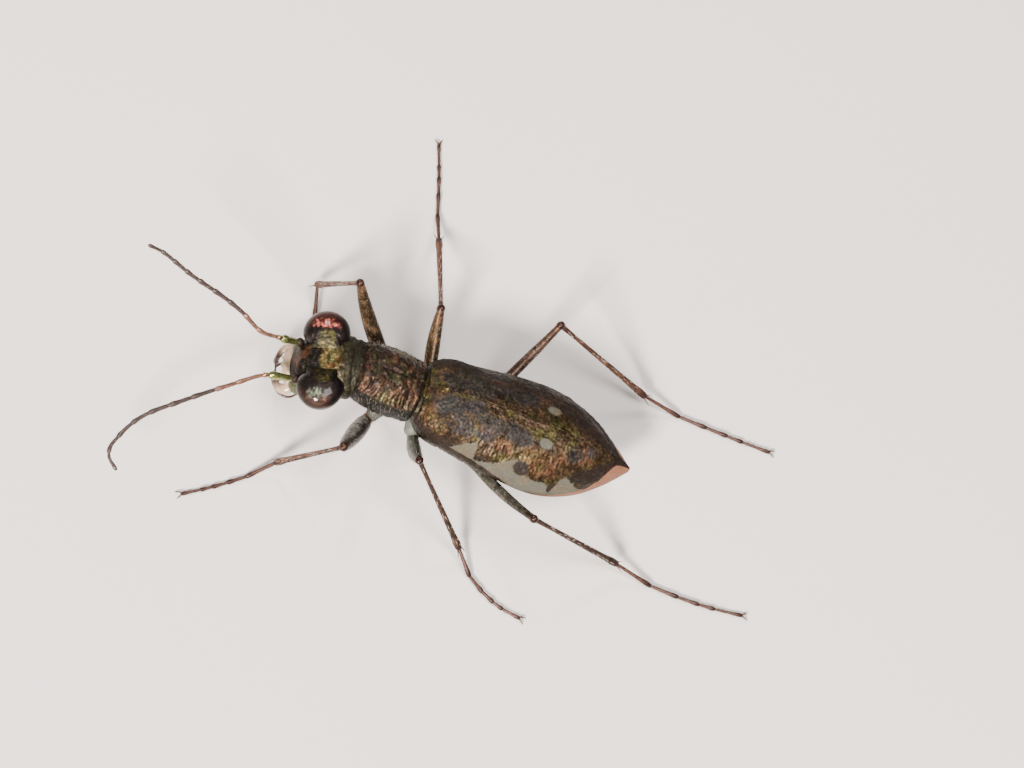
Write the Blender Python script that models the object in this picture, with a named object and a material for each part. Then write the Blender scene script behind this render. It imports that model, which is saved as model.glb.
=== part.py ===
"""Tiger beetle, a still life-size model that stands on its own six feet.

The beetle faces -Y, its left side is +X, and the floor is z = 0. All sizes below are in
millimetres: one empty, named millimetres, scales them to metres. The body is drawn level in
a frame whose origin lies on the body's axis at the base of the wing cases, with the rear at
+Y, and that frame is then tipped head up and set at the height at which the legs carry it.
The legs and feelers are drawn in the floor's frame, from the body's own root points.
"""

import math

import bmesh
import bpy
from mathutils import Matrix, Vector

MM = 0.001

# Placing of the whole model
FOOTPRINT_SHIFT = Vector((2.122, -1.502, 0.0))
RIDE_HEIGHT = 2.4
BODY_PITCH = math.radians(6.0)
HEAD_PIVOT = Vector((0.0, -1.92, 0.1))
HEAD_YAW = math.radians(7.6)
HEAD_PITCH = math.radians(-21.4)
HEAD_ROLL = math.radians(4.0)

# Gap between neighbouring nodes, and the least thickness of a limb
GAP = 0.2
LIMB_RADIUS = 0.25

# Wing cases: plan, crown and lower edge, as shares of the length and of the main sizes
ELYTRA_START = 0.05
ELYTRA_LENGTH = 6.55
ELYTRA_HALF_WIDTH = 1.66
ELYTRA_CROWN = 1.12
ELYTRA_SHELL = 0.5
ELYTRA_PLAN = (
    (0.0, 0.60), (0.07, 0.79), (0.18, 0.84), (0.45, 1.0),
    (0.63, 0.99), (0.79, 0.75), (0.91, 0.40), (1.0, 0.05),
)
CROWN_PLAN = (
    (0.0, 0.49), (0.08, 0.72), (0.25, 0.90), (0.5, 0.97),
    (0.65, 1.0), (0.8, 0.94), (0.92, 0.66), (1.0, 0.42),
)
EDGE_PLAN = ((0.0, 0.02), (0.15, -0.06), (0.45, -0.1), (0.7, -0.12), (0.88, -0.05), (1.0, 0.28))
SECTION_POWER = 1.85

# Underside: where thorax and abdomen meet, and how deep the belly reaches
THORAX_START = 0.06
WAIST = 2.95
ABDOMEN_END = 6.3
BELLY_PLAN = ((0.0, -0.82), (0.2, -0.93), (0.45, -0.95), (0.7, -0.86), (0.9, -0.62), (1.0, -0.5))
BELLY_SIDE_STEP = 0.03
BELLY_POWER = 2.3
BACK_DEPTH_SHARE = 0.6

# Prothorax: stations of (y, half width, top, bottom), and how square its lower half is
PROTHORAX_STATIONS = (
    (-1.92, 0.84, 0.50, -0.60),
    (-1.78, 0.89, 0.56, -0.68),
    (-1.3, 0.96, 0.62, -0.78),
    (-0.75, 0.97, 0.64, -0.82),
    (-0.28, 0.92, 0.58, -0.78),
    (-0.1, 0.90, 0.52, -0.70),
)
PROTHORAX_LOWER_POWER = 3.4
WIDEST_SHARE = 0.52

# Head, in the head's own frame: stations of (y, half width, top, bottom)
HEAD_STATIONS = (
    (-0.16, 0.82, 0.38, -0.70),
    (-0.4, 0.90, 0.44, -0.84),
    (-0.65, 0.91, 0.48, -0.92),
    (-0.95, 0.86, 0.54, -1.0),
    (-1.4, 0.80, 0.48, -1.12),
    (-1.68, 0.75, 0.28, -1.16),
    (-1.86, 0.71, 0.04, -1.16),
    (-1.96, 0.66, -0.16, -1.12),
)
HEAD_LOWER_POWER = 2.4
EYE_CENTRE = Vector((0.92, -1.1, 0.07))
EYE_RADII = Vector((0.58, 0.68, 0.53))
LABRUM_HALF_WIDTH = 0.62
LABRUM_BACK = -2.14
LABRUM_FRONT = -2.5
LABRUM_TOP = -0.44
LABRUM_THICKNESS = 0.3
LABRUM_ARCH = 0.2
LABRUM_DROP = 0.12
LABRUM_TAPER = 0.22
LABRUM_POINTS = 12

# Mouthparts on the beetle's left, in the head's frame: bends and radii
MANDIBLE_BENDS = ((0.32, -2.15, -1.12), (0.34, -2.34, -1.18), (0.27, -2.52, -1.22), (0.17, -2.66, -1.22))
MANDIBLE_RADII = (0.2, 0.2, 0.16, 0.07)
PALP_BENDS = (
    (0.46, -1.7, -1.56), (0.68, -1.84, -1.5), (0.8, -2.1, -1.32), (0.78, -2.36, -1.22), (0.62, -2.6, -1.16),
)
PALP_RADII = (0.18, 0.19, 0.19, 0.18, 0.11)

# Legs: lengths of femur, tibia and tarsus for each pair, and the hip on the beetle's left
LEG_LENGTHS = {"front": (2.88, 2.95, 2.91), "middle": (2.54, 3.52, 3.36), "hind": (3.55, 3.96, 4.23)}
HIPS = {
    "front": Vector((0.48, -1.03, -0.95)),
    "middle": Vector((0.48, 0.38, -1.0)),
    "hind": Vector((0.62, 1.98, -1.0)),
}
# Heading of each leg's joints in degrees, from straight out towards the rear:
# femur heading and rise, tibia heading, and the tarsus heading at its two ends
LEG_POSES = {
    ("front", "left"): (-17.0, 32.5, -92.7, -49.1, -59.0),
    ("middle", "left"): (3.6, 41.4, 65.0, 42.0, 84.0),
    ("hind", "left"): (45.1, 27.4, 100.6, 82.0, 98.0),
    ("front", "right"): (-40.7, 34.7, -44.4, -196.0, -196.0),
    ("middle", "right"): (-7.6, 21.2, -6.0, -10.0, -15.0),
    ("hind", "right"): (29.5, 23.0, 93.8, 93.9, 90.7),
}
# Tarsi that show shorter than their pair, as shares of its length
SHORT_TARSUS = {("middle", "left"): 0.82, ("hind", "left"): 0.987}
TARSUS_SHARES = (0.30, 0.21, 0.16, 0.12, 0.21)
ANKLE_HEIGHT = 0.5
FEMUR_SAG = 0.2
TROCHANTER_OUT = 0.28
TROCHANTER_RADIUS = 0.27
KNEE_RADIUS = 0.27
TIBIA_RADIUS = 0.24
ANKLE_RADIUS = 0.26
FEMUR_RADII = (0.24, 0.26, 0.27, 0.26, 0.24)
SOLE_SINK = 0.045
TARSUS_TIP_RADIUS = 0.17
SPUR_LENGTH = 0.75
SPUR_SPLAY = 0.42
SPUR_RADII = (0.09, 0.07, 0.025)
CLAW_LENGTH = 0.55
CLAW_SPLAY = (0.05, 0.17, 0.2)
CLAW_RADII = (0.1, 0.075, 0.03)
CLAW_REACHES = (-0.15, 0.55, 1.0)
COXA_RADII = (0.46, 0.5, 0.38)
COXA_LIFT = 0.1

# Feelers: root on the head, and the bends of the centre line in the floor's frame
ANTENNA_ROOT = Vector((0.58, -2.16, -0.02))
ANTENNA_BENDS = {
    "left": (
        (1.14, -4.5, 2.4), (1.68, -5.21, 2.44), (2.79, -6.55, 2.5),
        (3.71, -7.58, 2.44), (4.69, -8.11, 2.32), (5.06, -8.1, 2.27), (5.36, -7.79, 2.2),
    ),
    "right": (
        (-0.05, -4.45, 2.6), (0.04, -5.0, 2.78), (-0.17, -5.66, 3.08),
        (-0.29, -6.29, 3.35), (-0.41, -7.49, 3.83), (-0.6, -8.5, 4.23), (-0.57, -8.94, 4.4),
    ),
}
ANTENNA_RADIUS = 0.24
ANTENNA_TIP_RADIUS = 0.13
ANTENNOMERES = 11
ANTENNA_TAPER_START = 0.6
ANTENNA_WAIST_SHARE = 0.94

# Fineness: rings along each loft, and the segments and rings of each ball
THORAX_RINGS = 8
ABDOMEN_RINGS = 9
ELYTRON_RINGS = 18
HOLLOW_RINGS = 13
EYE_FINENESS = (20, 12)
COXA_FINENESS = (12, 8)
ANKLE_FINENESS = (8, 6)

# Reach of the cutters past what they cut, and the narrowest back and hollow at the rear end
HOLLOW_FLOOR = -1.2
HOLLOW_RUN_OUT = 0.4
LEAST_HALF_WIDTH = 0.2
REAR_STEP = 0.05
SLAB_SIZE = Vector((40.0, 40.0, 4.0))

COLOURS = {
    "head_bronze": ((0.16, 0.15, 0.06), 0.3, 0.9),
    "eye_brown": ((0.06, 0.03, 0.025), 0.15, 0.1),
    "labrum_ivory": ((0.62, 0.52, 0.38), 0.4, 0.0),
    "mandible_brown": ((0.16, 0.09, 0.05), 0.35, 0.1),
    "elytra_bronze": ((0.15, 0.12, 0.07), 0.35, 0.8),
    "thorax_bronze": ((0.12, 0.10, 0.06), 0.35, 0.8),
    "belly_green": ((0.05, 0.08, 0.06), 0.3, 0.8),
    "leg_bronze": ((0.18, 0.12, 0.06), 0.35, 0.7),
    "antenna_brown": ((0.10, 0.07, 0.05), 0.45, 0.3),
}


def clear_scene():
    for obj in list(bpy.data.objects):
        bpy.data.objects.remove(obj, do_unlink=True)


def material(name):
    found = bpy.data.materials.get(name)
    if found:
        return found
    colour, roughness, metallic = COLOURS[name]
    made = bpy.data.materials.new(name)
    made.use_nodes = True
    shader = made.node_tree.nodes["Principled BSDF"]
    shader.inputs["Base Color"].default_value = (*colour, 1.0)
    shader.inputs["Roughness"].default_value = roughness
    shader.inputs["Metallic"].default_value = metallic
    return made


def empty(name, parent, location=(0.0, 0.0, 0.0), rotation=(0.0, 0.0, 0.0)):
    made = bpy.data.objects.new(name, None)
    bpy.context.scene.collection.objects.link(made)
    made.parent = parent
    made.location = location
    made.rotation_euler = rotation
    return made


def along(stations, share):
    """The smooth curve through a few (position, value) stations, read at one position."""
    last = len(stations) - 1
    share = min(max(share, stations[0][0]), stations[last][0])
    index = max(i for i in range(last) if stations[i][0] <= share)
    x0, v0 = stations[index][:2]
    x1, v1 = stations[index + 1][:2]
    before = stations[max(index - 1, 0)]
    after = stations[min(index + 2, last)]
    slope0 = (v1 - before[1]) / (x1 - before[0])
    slope1 = (after[1] - v0) / (after[0] - x0)
    span = x1 - x0
    t = (share - x0) / span
    return (
        v0 * (1 + 2 * t) * (1 - t) ** 2
        + slope0 * span * t * (1 - t) ** 2
        + v1 * t * t * (3 - 2 * t)
        - slope1 * span * t * t * (1 - t)
    )


def share_of(y):
    return (y - ELYTRA_START) / ELYTRA_LENGTH


def half_width(y):
    return ELYTRA_HALF_WIDTH * along(ELYTRA_PLAN, share_of(y))


def crown(y):
    return ELYTRA_CROWN * along(CROWN_PLAN, share_of(y))


def edge(y):
    return along(EDGE_PLAN, share_of(y))


def belly(y):
    return along(BELLY_PLAN, share_of(y))


def power(value, exponent):
    return math.copysign(abs(value) ** exponent, value)


def arc(half, rise, start, end, steps, exponent=SECTION_POWER):
    """Points (x, z) of a superellipse between two angles, from +X towards +Z."""
    points = []
    for step in range(steps + 1):
        angle = math.radians(start + (end - start) * step / steps)
        x = half * power(math.cos(angle), 2 / exponent)
        z = rise * power(math.sin(angle), 2 / exponent)
        points.append((x, z))
    return points


def closed_ring(y, half, top, bottom, lower_power=SECTION_POWER, widest=WIDEST_SHARE, steps=10):
    """A full section at one station, from a half width, a top and a bottom."""
    middle = bottom + (top - bottom) * widest
    upper = arc(half, top - middle, 0, 180, steps)
    lower = arc(half, bottom - middle, 180, 0, steps, lower_power)
    return [Vector((x, y, middle + z)) for x, z in upper[:-1] + lower[:-1]]


def dome_ring(y, inset, floor, steps=12):
    """The wing cases' section inset by a distance, with straight sides down to a floor."""
    half = half_width(y) - inset
    low = edge(y)
    upper = arc(half, crown(y) - inset - low, 0, 180, steps)
    points = [Vector((x, y, low + z)) for x, z in upper]
    return points + [Vector((-half, y, floor)), Vector((half, y, floor))]


def half_dome_ring(y, steps=9):
    """The left wing case's section: its arc, and the corner under the middle seam."""
    low = edge(y)
    inner = min(GAP / 2, half_width(y) / 3)
    arc_points = arc(half_width(y) - inner, crown(y) - low, 0, 90, steps)
    points = [Vector((inner + x, y, low + z)) for x, z in arc_points]
    return points + [Vector((inner, y, low))]


def belly_ring(y, steps=10):
    """The underside's section: flat below the wing cases' edge, round below."""
    half = max(half_width(y) - BELLY_SIDE_STEP, 0.1)
    top = edge(y) - GAP
    lower = arc(half, belly(y) - top, 180, 0, steps, BELLY_POWER)
    return [Vector((x, y, top + z)) for x, z in lower]


def rear_limit(start, least):
    """The first station forwards of a start at which the wing cases have some half width."""
    y = start
    while half_width(y) < least:
        y -= REAR_STEP
    return y


def spread(start, end, count):
    return [start + (end - start) * i / (count - 1) for i in range(count)]


def mesh_object(name, mesh, parent, collection=None):
    made = bpy.data.objects.new(name, mesh)
    (collection or bpy.context.scene.collection).objects.link(made)
    made.parent = parent
    return made


def loft(name, rings, parent, collection=None):
    """A closed solid through rings that all have the same number of points."""
    shape = bmesh.new()
    loops = [[shape.verts.new(point) for point in ring] for ring in rings]
    count = len(rings[0])
    for low, high in zip(loops, loops[1:]):
        for i in range(count):
            j = (i + 1) % count
            shape.faces.new((low[i], low[j], high[j], high[i]))
    shape.faces.new(loops[0])
    shape.faces.new(loops[-1])
    bmesh.ops.recalc_face_normals(shape, faces=shape.faces)
    mesh = bpy.data.meshes.new(name)
    shape.to_mesh(mesh)
    shape.free()
    return mesh_object(name, mesh, parent, collection)


def ball(name, centre, radii, parent, collection=None, segments=10, rings=7):
    shape = bmesh.new()
    place = Matrix.LocRotScale(centre, None, Vector(radii))
    bmesh.ops.create_uvsphere(shape, u_segments=segments, v_segments=rings, radius=1.0, matrix=place)
    mesh = bpy.data.meshes.new(name)
    shape.to_mesh(mesh)
    shape.free()
    return mesh_object(name, mesh, parent, collection)


def tube(name, points, radii, parent, collection=None, corners=2):
    """A round bar through points with a radius at each, closed at both ends."""
    curve = bpy.data.curves.new(name, "CURVE")
    curve.dimensions = "3D"
    curve.bevel_depth = 1.0
    curve.bevel_resolution = corners
    curve.use_fill_caps = True
    spline = curve.splines.new("POLY")
    spline.points.add(len(points) - 1)
    for place, point, radius in zip(spline.points, points, radii):
        place.co = (*point, 1.0)
        place.radius = radius
    drawn = bpy.data.objects.new(name, curve)
    bpy.context.scene.collection.objects.link(drawn)
    graph = bpy.context.evaluated_depsgraph_get()
    mesh = bpy.data.meshes.new_from_object(drawn.evaluated_get(graph))
    bpy.data.objects.remove(drawn, do_unlink=True)
    shape = bmesh.new()
    shape.from_mesh(mesh)
    bmesh.ops.remove_doubles(shape, verts=shape.verts, dist=0.0005)
    bmesh.ops.recalc_face_normals(shape, faces=shape.faces)
    shape.to_mesh(mesh)
    shape.free()
    return mesh_object(name, mesh, parent, collection)


def largest_body(shape):
    """Removes every closed surface but the one with the most faces."""
    shape.faces.ensure_lookup_table()
    seen = set()
    bodies = []
    for face in shape.faces:
        if face in seen:
            continue
        body = {face}
        waiting = [face]
        while waiting:
            for side in waiting.pop().edges:
                for other in side.link_faces:
                    if other not in body:
                        body.add(other)
                        waiting.append(other)
        seen |= body
        bodies.append(body)
    keep = max(bodies, key=len)
    scraps = [face for face in shape.faces if face not in keep]
    bmesh.ops.delete(shape, geom=scraps, context="FACES")


def combine(obj, collection, operation):
    """Joins or cuts a node with every solid of a collection, then removes that collection."""
    boolean = obj.modifiers.new(operation, "BOOLEAN")
    boolean.operand_type = "COLLECTION"
    boolean.collection = collection
    boolean.operation = operation
    boolean.solver = "MANIFOLD"
    bpy.context.view_layer.update()
    graph = bpy.context.evaluated_depsgraph_get()
    obj.data = bpy.data.meshes.new_from_object(obj.evaluated_get(graph))
    obj.modifiers.clear()
    for helper in list(collection.objects):
        bpy.data.objects.remove(helper, do_unlink=True)
    bpy.data.collections.remove(collection)


def helper_collection(name):
    made = bpy.data.collections.new(name)
    bpy.context.scene.collection.children.link(made)
    made.hide_render = True
    return made


def finish(obj, slot):
    """Drops the scraps that the Booleans leave, shades the node smooth and gives it its material."""
    shape = bmesh.new()
    shape.from_mesh(obj.data)
    bmesh.ops.triangulate(shape, faces=shape.faces)
    largest_body(shape)
    for face in shape.faces:
        face.smooth = True
    shape.to_mesh(obj.data)
    shape.free()
    obj.data.materials.clear()
    obj.data.materials.append(material(slot))


def mirrored(point, side):
    return Vector((point.x if side == "left" else -point.x, point.y, point.z))


def in_floor_frame(point):
    """A point of the body's frame, as it lies once the body is tipped and raised."""
    tip = Matrix.Rotation(-BODY_PITCH, 3, "X")
    return tip @ point + Vector((0.0, 0.0, RIDE_HEIGHT))


def head_turn():
    yaw = Matrix.Rotation(HEAD_YAW, 3, "Z")
    pitch = Matrix.Rotation(-HEAD_PITCH, 3, "X")
    roll = Matrix.Rotation(HEAD_ROLL, 3, "Y")
    return yaw @ pitch @ roll


def head_to_floor(point):
    return in_floor_frame(HEAD_PIVOT + head_turn() @ point)


def heading(side, azimuth, rise):
    """A direction from its azimuth, measured from straight out towards the rear, and its rise."""
    out = 1.0 if side == "left" else -1.0
    level = math.cos(rise)
    return Vector((out * math.cos(azimuth) * level, math.sin(azimuth) * level, math.sin(rise)))


def thigh(hip, knee):
    """The femur's centre line: it bows down a little, so that it passes under the body's edge."""
    points = []
    for share in (0.0, 0.2, 0.45, 0.72, 1.0):
        sag = FEMUR_SAG * 4 * share * (1 - share)
        points.append(hip.lerp(knee, share) - Vector((0.0, 0.0, sag)))
    return points


def leg_joints(pair, side):
    """Hip, knee, and the ankle followed by the end of each tarsal joint."""
    femur, tibia, tarsus = LEG_LENGTHS[pair]
    angles = [math.radians(angle) for angle in LEG_POSES[pair, side]]
    hip = in_floor_frame(mirrored(HIPS[pair], side))
    knee = hip + femur * heading(side, angles[0], angles[1])
    fall = math.asin((ANKLE_HEIGHT - knee.z) / tibia)
    point = knee + tibia * heading(side, angles[2], fall)
    foot = [point]
    count = len(TARSUS_SHARES)
    length = tarsus * SHORT_TARSUS.get((pair, side), 1.0)
    for index, share in enumerate(TARSUS_SHARES):
        turn = angles[3] + (angles[4] - angles[3]) * (index + 0.5) / count
        point = point + length * share * heading(side, turn, 0.0)
        foot.append(point)
    return hip, knee, foot


def sole_line(foot):
    """The foot's centre line and radii: it comes down from the ankle and then lies flat."""
    last = len(foot) - 1
    points = []
    radii = []
    for index, place in enumerate(foot):
        radius = LIMB_RADIUS + (TARSUS_TIP_RADIUS - LIMB_RADIUS) * index / last
        height = radius - SOLE_SINK
        points.append(Vector((place.x, place.y, ANKLE_HEIGHT if index == 0 else height)))
        radii.append(radius)
    return points, radii


def claws(foot, radius, collection, parent):
    ahead = (foot[-1] - foot[-2]).normalized()
    across = Vector((-ahead.y, ahead.x, 0.0))
    start = Vector((foot[-1].x, foot[-1].y, radius - SOLE_SINK))
    for sign in (-1, 1):
        points = []
        for reach, splay in zip(CLAW_REACHES, CLAW_SPLAY):
            points.append(start + CLAW_LENGTH * reach * ahead + sign * splay * across)
        points[-1].z = SOLE_SINK
        tube("claw", points, CLAW_RADII, parent, collection, corners=0)


def spurs(knee, ankle, collection, parent):
    """The pair of long spines at the lower end of the tibia, clear of the floor."""
    down = (ankle - knee).normalized()
    across = down.cross(Vector((0.0, 0.0, 1.0))).normalized()
    for sign in (-1, 1):
        aim = (down + sign * SPUR_SPLAY * across).normalized()
        root = ankle - SPUR_RADII[0] * down + sign * SPUR_RADII[0] * across
        tip = root + SPUR_LENGTH * aim
        tip.z = max(tip.z, 2 * SOLE_SINK)
        tube("spur", (root, (root + tip) / 2, tip), SPUR_RADII, parent, collection, corners=0)


def leg(pair, side, parent):
    hip, knee, foot = leg_joints(pair, side)
    out = (knee - hip).normalized()
    start = hip + TROCHANTER_OUT * out
    pieces = helper_collection("leg pieces")
    joined = ball("leg_%s_%s" % (pair, side), start, [TROCHANTER_RADIUS] * 3, parent)
    tube("femur", thigh(start, knee), FEMUR_RADII, parent, pieces)
    ball("knee", knee, [KNEE_RADIUS] * 3, parent, pieces)
    shin = [knee.lerp(foot[0], share) for share in (0.0, 0.5, 1.0)]
    tube("tibia", shin, [TIBIA_RADIUS] * len(shin), parent, pieces)
    points, radii = sole_line(foot)
    ball("ankle", points[0], [ANKLE_RADIUS] * 3, parent, pieces, *ANKLE_FINENESS)
    tube("tarsus", points, radii, parent, pieces)
    claws(foot, radii[-1], pieces, parent)
    spurs(knee, foot[0], pieces, parent)
    combine(joined, pieces, "UNION")
    floor = helper_collection("floor cut")
    slab(floor, parent)
    combine(joined, floor, "DIFFERENCE")
    finish(joined, "leg_bronze")


def slab(collection, parent):
    """A block under the floor that planes each foot to a flat sole."""
    shape = bmesh.new()
    place = Matrix.LocRotScale(Vector((0.0, 0.0, -SLAB_SIZE.z / 2)), None, SLAB_SIZE)
    bmesh.ops.create_cube(shape, size=1.0, matrix=place)
    mesh = bpy.data.meshes.new("slab")
    shape.to_mesh(mesh)
    shape.free()
    mesh_object("slab", mesh, parent, collection)


def leg_room(collection, parent, pairs):
    """Cutters that keep a clear space round the upper legs, where they pass the body."""
    for pair in pairs:
        for side in ("left", "right"):
            hip, knee, _ = leg_joints(pair, side)
            out = (knee - hip).normalized()
            start = hip + TROCHANTER_OUT * out
            wide = TROCHANTER_RADIUS + GAP
            blunt_end = ((-0.95, 0.35), (-0.6, 0.82))
            points = [start + step * wide * out for step, _ in blunt_end] + thigh(start, knee)
            radii = [wide * share for _, share in blunt_end] + [wide] * (len(points) - len(blunt_end))
            tube("room", points, radii, parent, collection, corners=4)


def coxae(pair, body, collection):
    """The pair of hip joints under the body, as low domes at the roots of the legs."""
    for side in ("left", "right"):
        centre = mirrored(HIPS[pair], side) + Vector((0.0, 0.0, COXA_LIFT))
        ball("coxa", centre, COXA_RADII, body, collection, *COXA_FINENESS)


def prothorax(body, floor):
    rings = [closed_ring(*station, PROTHORAX_LOWER_POWER) for station in PROTHORAX_STATIONS]
    made = loft("prothorax", rings, body)
    pieces = helper_collection("front hips")
    coxae("front", body, pieces)
    combine(made, pieces, "UNION")
    room = helper_collection("front leg room")
    leg_room(room, floor, ("front",))
    combine(made, room, "DIFFERENCE")
    finish(made, "thorax_bronze")


def core(name, start, end, count, pieces, body):
    """A length of the body: the belly, with the back that fills the wing cases sunk into it."""
    made = loft(name, [belly_ring(y) for y in spread(start, end, count)], body)
    inset = ELYTRA_SHELL + GAP
    back_end = rear_limit(end, inset + LEAST_HALF_WIDTH)
    rings = [dome_ring(y, inset, belly(y) * BACK_DEPTH_SHARE) for y in spread(start, back_end, count)]
    loft(name + " back", rings, body, pieces)
    return made


def thorax(body, floor):
    pieces = helper_collection("thorax pieces")
    made = core("thorax", THORAX_START, WAIST - GAP / 2, THORAX_RINGS, pieces, body)
    coxae("middle", body, pieces)
    coxae("hind", body, pieces)
    combine(made, pieces, "UNION")
    room = helper_collection("rear leg room")
    leg_room(room, floor, ("middle", "hind"))
    combine(made, room, "DIFFERENCE")
    finish(made, "belly_green")


def abdomen(body, floor):
    pieces = helper_collection("abdomen pieces")
    made = core("abdomen", WAIST + GAP / 2, ABDOMEN_END, ABDOMEN_RINGS, pieces, body)
    combine(made, pieces, "UNION")
    room = helper_collection("hind leg room")
    leg_room(room, floor, ("hind",))
    combine(made, room, "DIFFERENCE")
    finish(made, "belly_green")


def elytron(side, body, floor):
    """One wing case: the outer form less the room for the back, cut clear of the legs."""
    end = ELYTRA_START + ELYTRA_LENGTH
    rings = [half_dome_ring(y) for y in spread(ELYTRA_START, end, ELYTRON_RINGS)]
    if side == "right":
        rings = [[mirrored(point, side) for point in ring] for ring in rings]
    made = loft("elytron_" + side, rings, body)
    hollow = helper_collection("wing case hollow")
    hollow_end = rear_limit(end, ELYTRA_SHELL + LEAST_HALF_WIDTH)
    stations = spread(ELYTRA_START, hollow_end, HOLLOW_RINGS)
    inner = [dome_ring(y, ELYTRA_SHELL, HOLLOW_FLOOR) for y in stations]
    front = [point - Vector((0.0, HOLLOW_RUN_OUT, 0.0)) for point in inner[0]]
    loft("hollow", [front] + inner, body, hollow)
    leg_room(hollow, floor, ("middle", "hind"))
    combine(made, hollow, "DIFFERENCE")
    finish(made, "elytra_bronze")


def neck_face(ring):
    """Lays the head's last section parallel to the front of the prothorax, a gap ahead of it."""
    turn = head_turn()
    laid = []
    for point in ring:
        across = turn[1][0] * point.x + turn[1][2] * point.z
        laid.append(Vector((point.x, (-GAP - across) / turn[1][1], point.z)))
    return laid


def head(frame):
    rings = [closed_ring(*station, HEAD_LOWER_POWER) for station in HEAD_STATIONS]
    rings[0] = neck_face(rings[0])
    made = loft("head", rings, frame)
    sockets = helper_collection("eye sockets")
    for side in ("left", "right"):
        room = EYE_RADII + Vector((GAP, GAP, GAP))
        ball("socket", mirrored(EYE_CENTRE, side), room, frame, sockets, *EYE_FINENESS)
    combine(made, sockets, "DIFFERENCE")
    finish(made, "head_bronze")
    for side in ("left", "right"):
        eye = ball("eye_" + side, mirrored(EYE_CENTRE, side), EYE_RADII, frame, None, *EYE_FINENESS)
        finish(eye, "eye_brown")


def labrum(frame):
    """The broad upper lip, an arched plate that bends down towards its front edge."""
    rings = []
    for share in (0.0, 0.5, 1.0):
        y = LABRUM_BACK + (LABRUM_FRONT - LABRUM_BACK) * share
        half = LABRUM_HALF_WIDTH * (1.0 - LABRUM_TAPER * share * share)
        top = LABRUM_TOP - LABRUM_DROP * share * share
        ring = closed_ring(y, half, top, top - LABRUM_THICKNESS, steps=LABRUM_POINTS)
        for point in ring:
            point.z -= LABRUM_ARCH * (point.x / half) ** 2
        rings.append(ring)
    made = loft("labrum", rings, frame)
    finish(made, "labrum_ivory")


def mouthparts(side, frame):
    """One mandible, curved in under the lip, and the palp beside and below it."""
    points = [mirrored(Vector(bend), side) for bend in MANDIBLE_BENDS]
    mandible = tube("mandible_" + side, points, MANDIBLE_RADII, frame)
    finish(mandible, "mandible_brown")
    points = [mirrored(Vector(bend), side) for bend in PALP_BENDS]
    palp = tube("palp_" + side, points, PALP_RADII, frame)
    finish(palp, "mandible_brown")


def antenna(side, floor):
    """A thread of eleven joints, each a little wider at its far end, tapering to the tip."""
    root = head_to_floor(mirrored(ANTENNA_ROOT, side))
    bends = [root] + [Vector(bend) for bend in ANTENNA_BENDS[side]]
    lengths = [0.0]
    for before, after in zip(bends, bends[1:]):
        lengths.append(lengths[-1] + (after - before).length)
    steps = 2 * ANTENNOMERES
    points = []
    radii = []
    for step in range(steps + 1):
        reach = lengths[-1] * step / steps
        tables = [[(lengths[i], bend[axis]) for i, bend in enumerate(bends)] for axis in range(3)]
        points.append(Vector([along(table, reach) for table in tables]))
        late = max(0.0, step / steps - ANTENNA_TAPER_START) / (1.0 - ANTENNA_TAPER_START)
        radius = ANTENNA_RADIUS + (ANTENNA_TIP_RADIUS - ANTENNA_RADIUS) * late
        radii.append(radius * (ANTENNA_WAIST_SHARE if step % 2 == 0 else 1.0))
    made = tube("antenna_" + side, points, radii, floor)
    finish(made, "antenna_brown")


def main():
    clear_scene()
    floor = empty("millimetres", None, FOOTPRINT_SHIFT * MM)
    floor.scale = (MM, MM, MM)
    body = empty("body_frame", floor, (0.0, 0.0, RIDE_HEIGHT), (-BODY_PITCH, 0.0, 0.0))
    turn = head_turn().to_euler()
    head_frame = empty("head_frame", body, HEAD_PIVOT, turn)
    bpy.context.view_layer.update()
    head(head_frame)
    labrum(head_frame)
    prothorax(body, floor)
    thorax(body, floor)
    abdomen(body, floor)
    for side in ("left", "right"):
        mouthparts(side, head_frame)
        antenna(side, floor)
        elytron(side, body, floor)
        for pair in LEG_LENGTHS:
            leg(pair, side, floor)


main()
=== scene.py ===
"""Tiger beetle: the looks of the model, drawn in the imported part's frame.

All sizes are millimetres until a mesh is built, where they become metres. The beetle faces
-Y, its left side is +X and the floor is z = 0. The body and the head have frames of their
own, the same as in the part: the body's lies on its axis at the base of the wing cases.
"""

import itertools
import math

import bpy
import numpy as np
from mathutils import Matrix, Vector

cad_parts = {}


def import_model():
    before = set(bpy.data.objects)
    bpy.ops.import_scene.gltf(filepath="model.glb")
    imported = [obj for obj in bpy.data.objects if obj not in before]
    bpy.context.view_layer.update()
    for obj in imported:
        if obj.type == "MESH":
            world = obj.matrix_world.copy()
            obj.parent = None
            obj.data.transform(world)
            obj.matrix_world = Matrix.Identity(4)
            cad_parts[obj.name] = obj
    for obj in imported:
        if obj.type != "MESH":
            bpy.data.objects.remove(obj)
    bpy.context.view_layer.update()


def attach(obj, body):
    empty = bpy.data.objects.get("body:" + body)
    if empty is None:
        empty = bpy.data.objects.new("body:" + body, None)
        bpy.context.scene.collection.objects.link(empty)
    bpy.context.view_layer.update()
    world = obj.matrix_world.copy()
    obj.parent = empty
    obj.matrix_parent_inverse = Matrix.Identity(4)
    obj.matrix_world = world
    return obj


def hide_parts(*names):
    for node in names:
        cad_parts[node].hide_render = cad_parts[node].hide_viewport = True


MM = 0.001

# Placing, as in the part
FOOTPRINT_SHIFT = np.array((2.122, -1.502, 0.0))
RIDE_HEIGHT = 2.4
BODY_PITCH = 6.0
HEAD_PIVOT = np.array((0.0, -1.92, 0.1))
HEAD_YAW = 7.6
HEAD_PITCH = -21.4
HEAD_ROLL = 4.0

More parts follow.
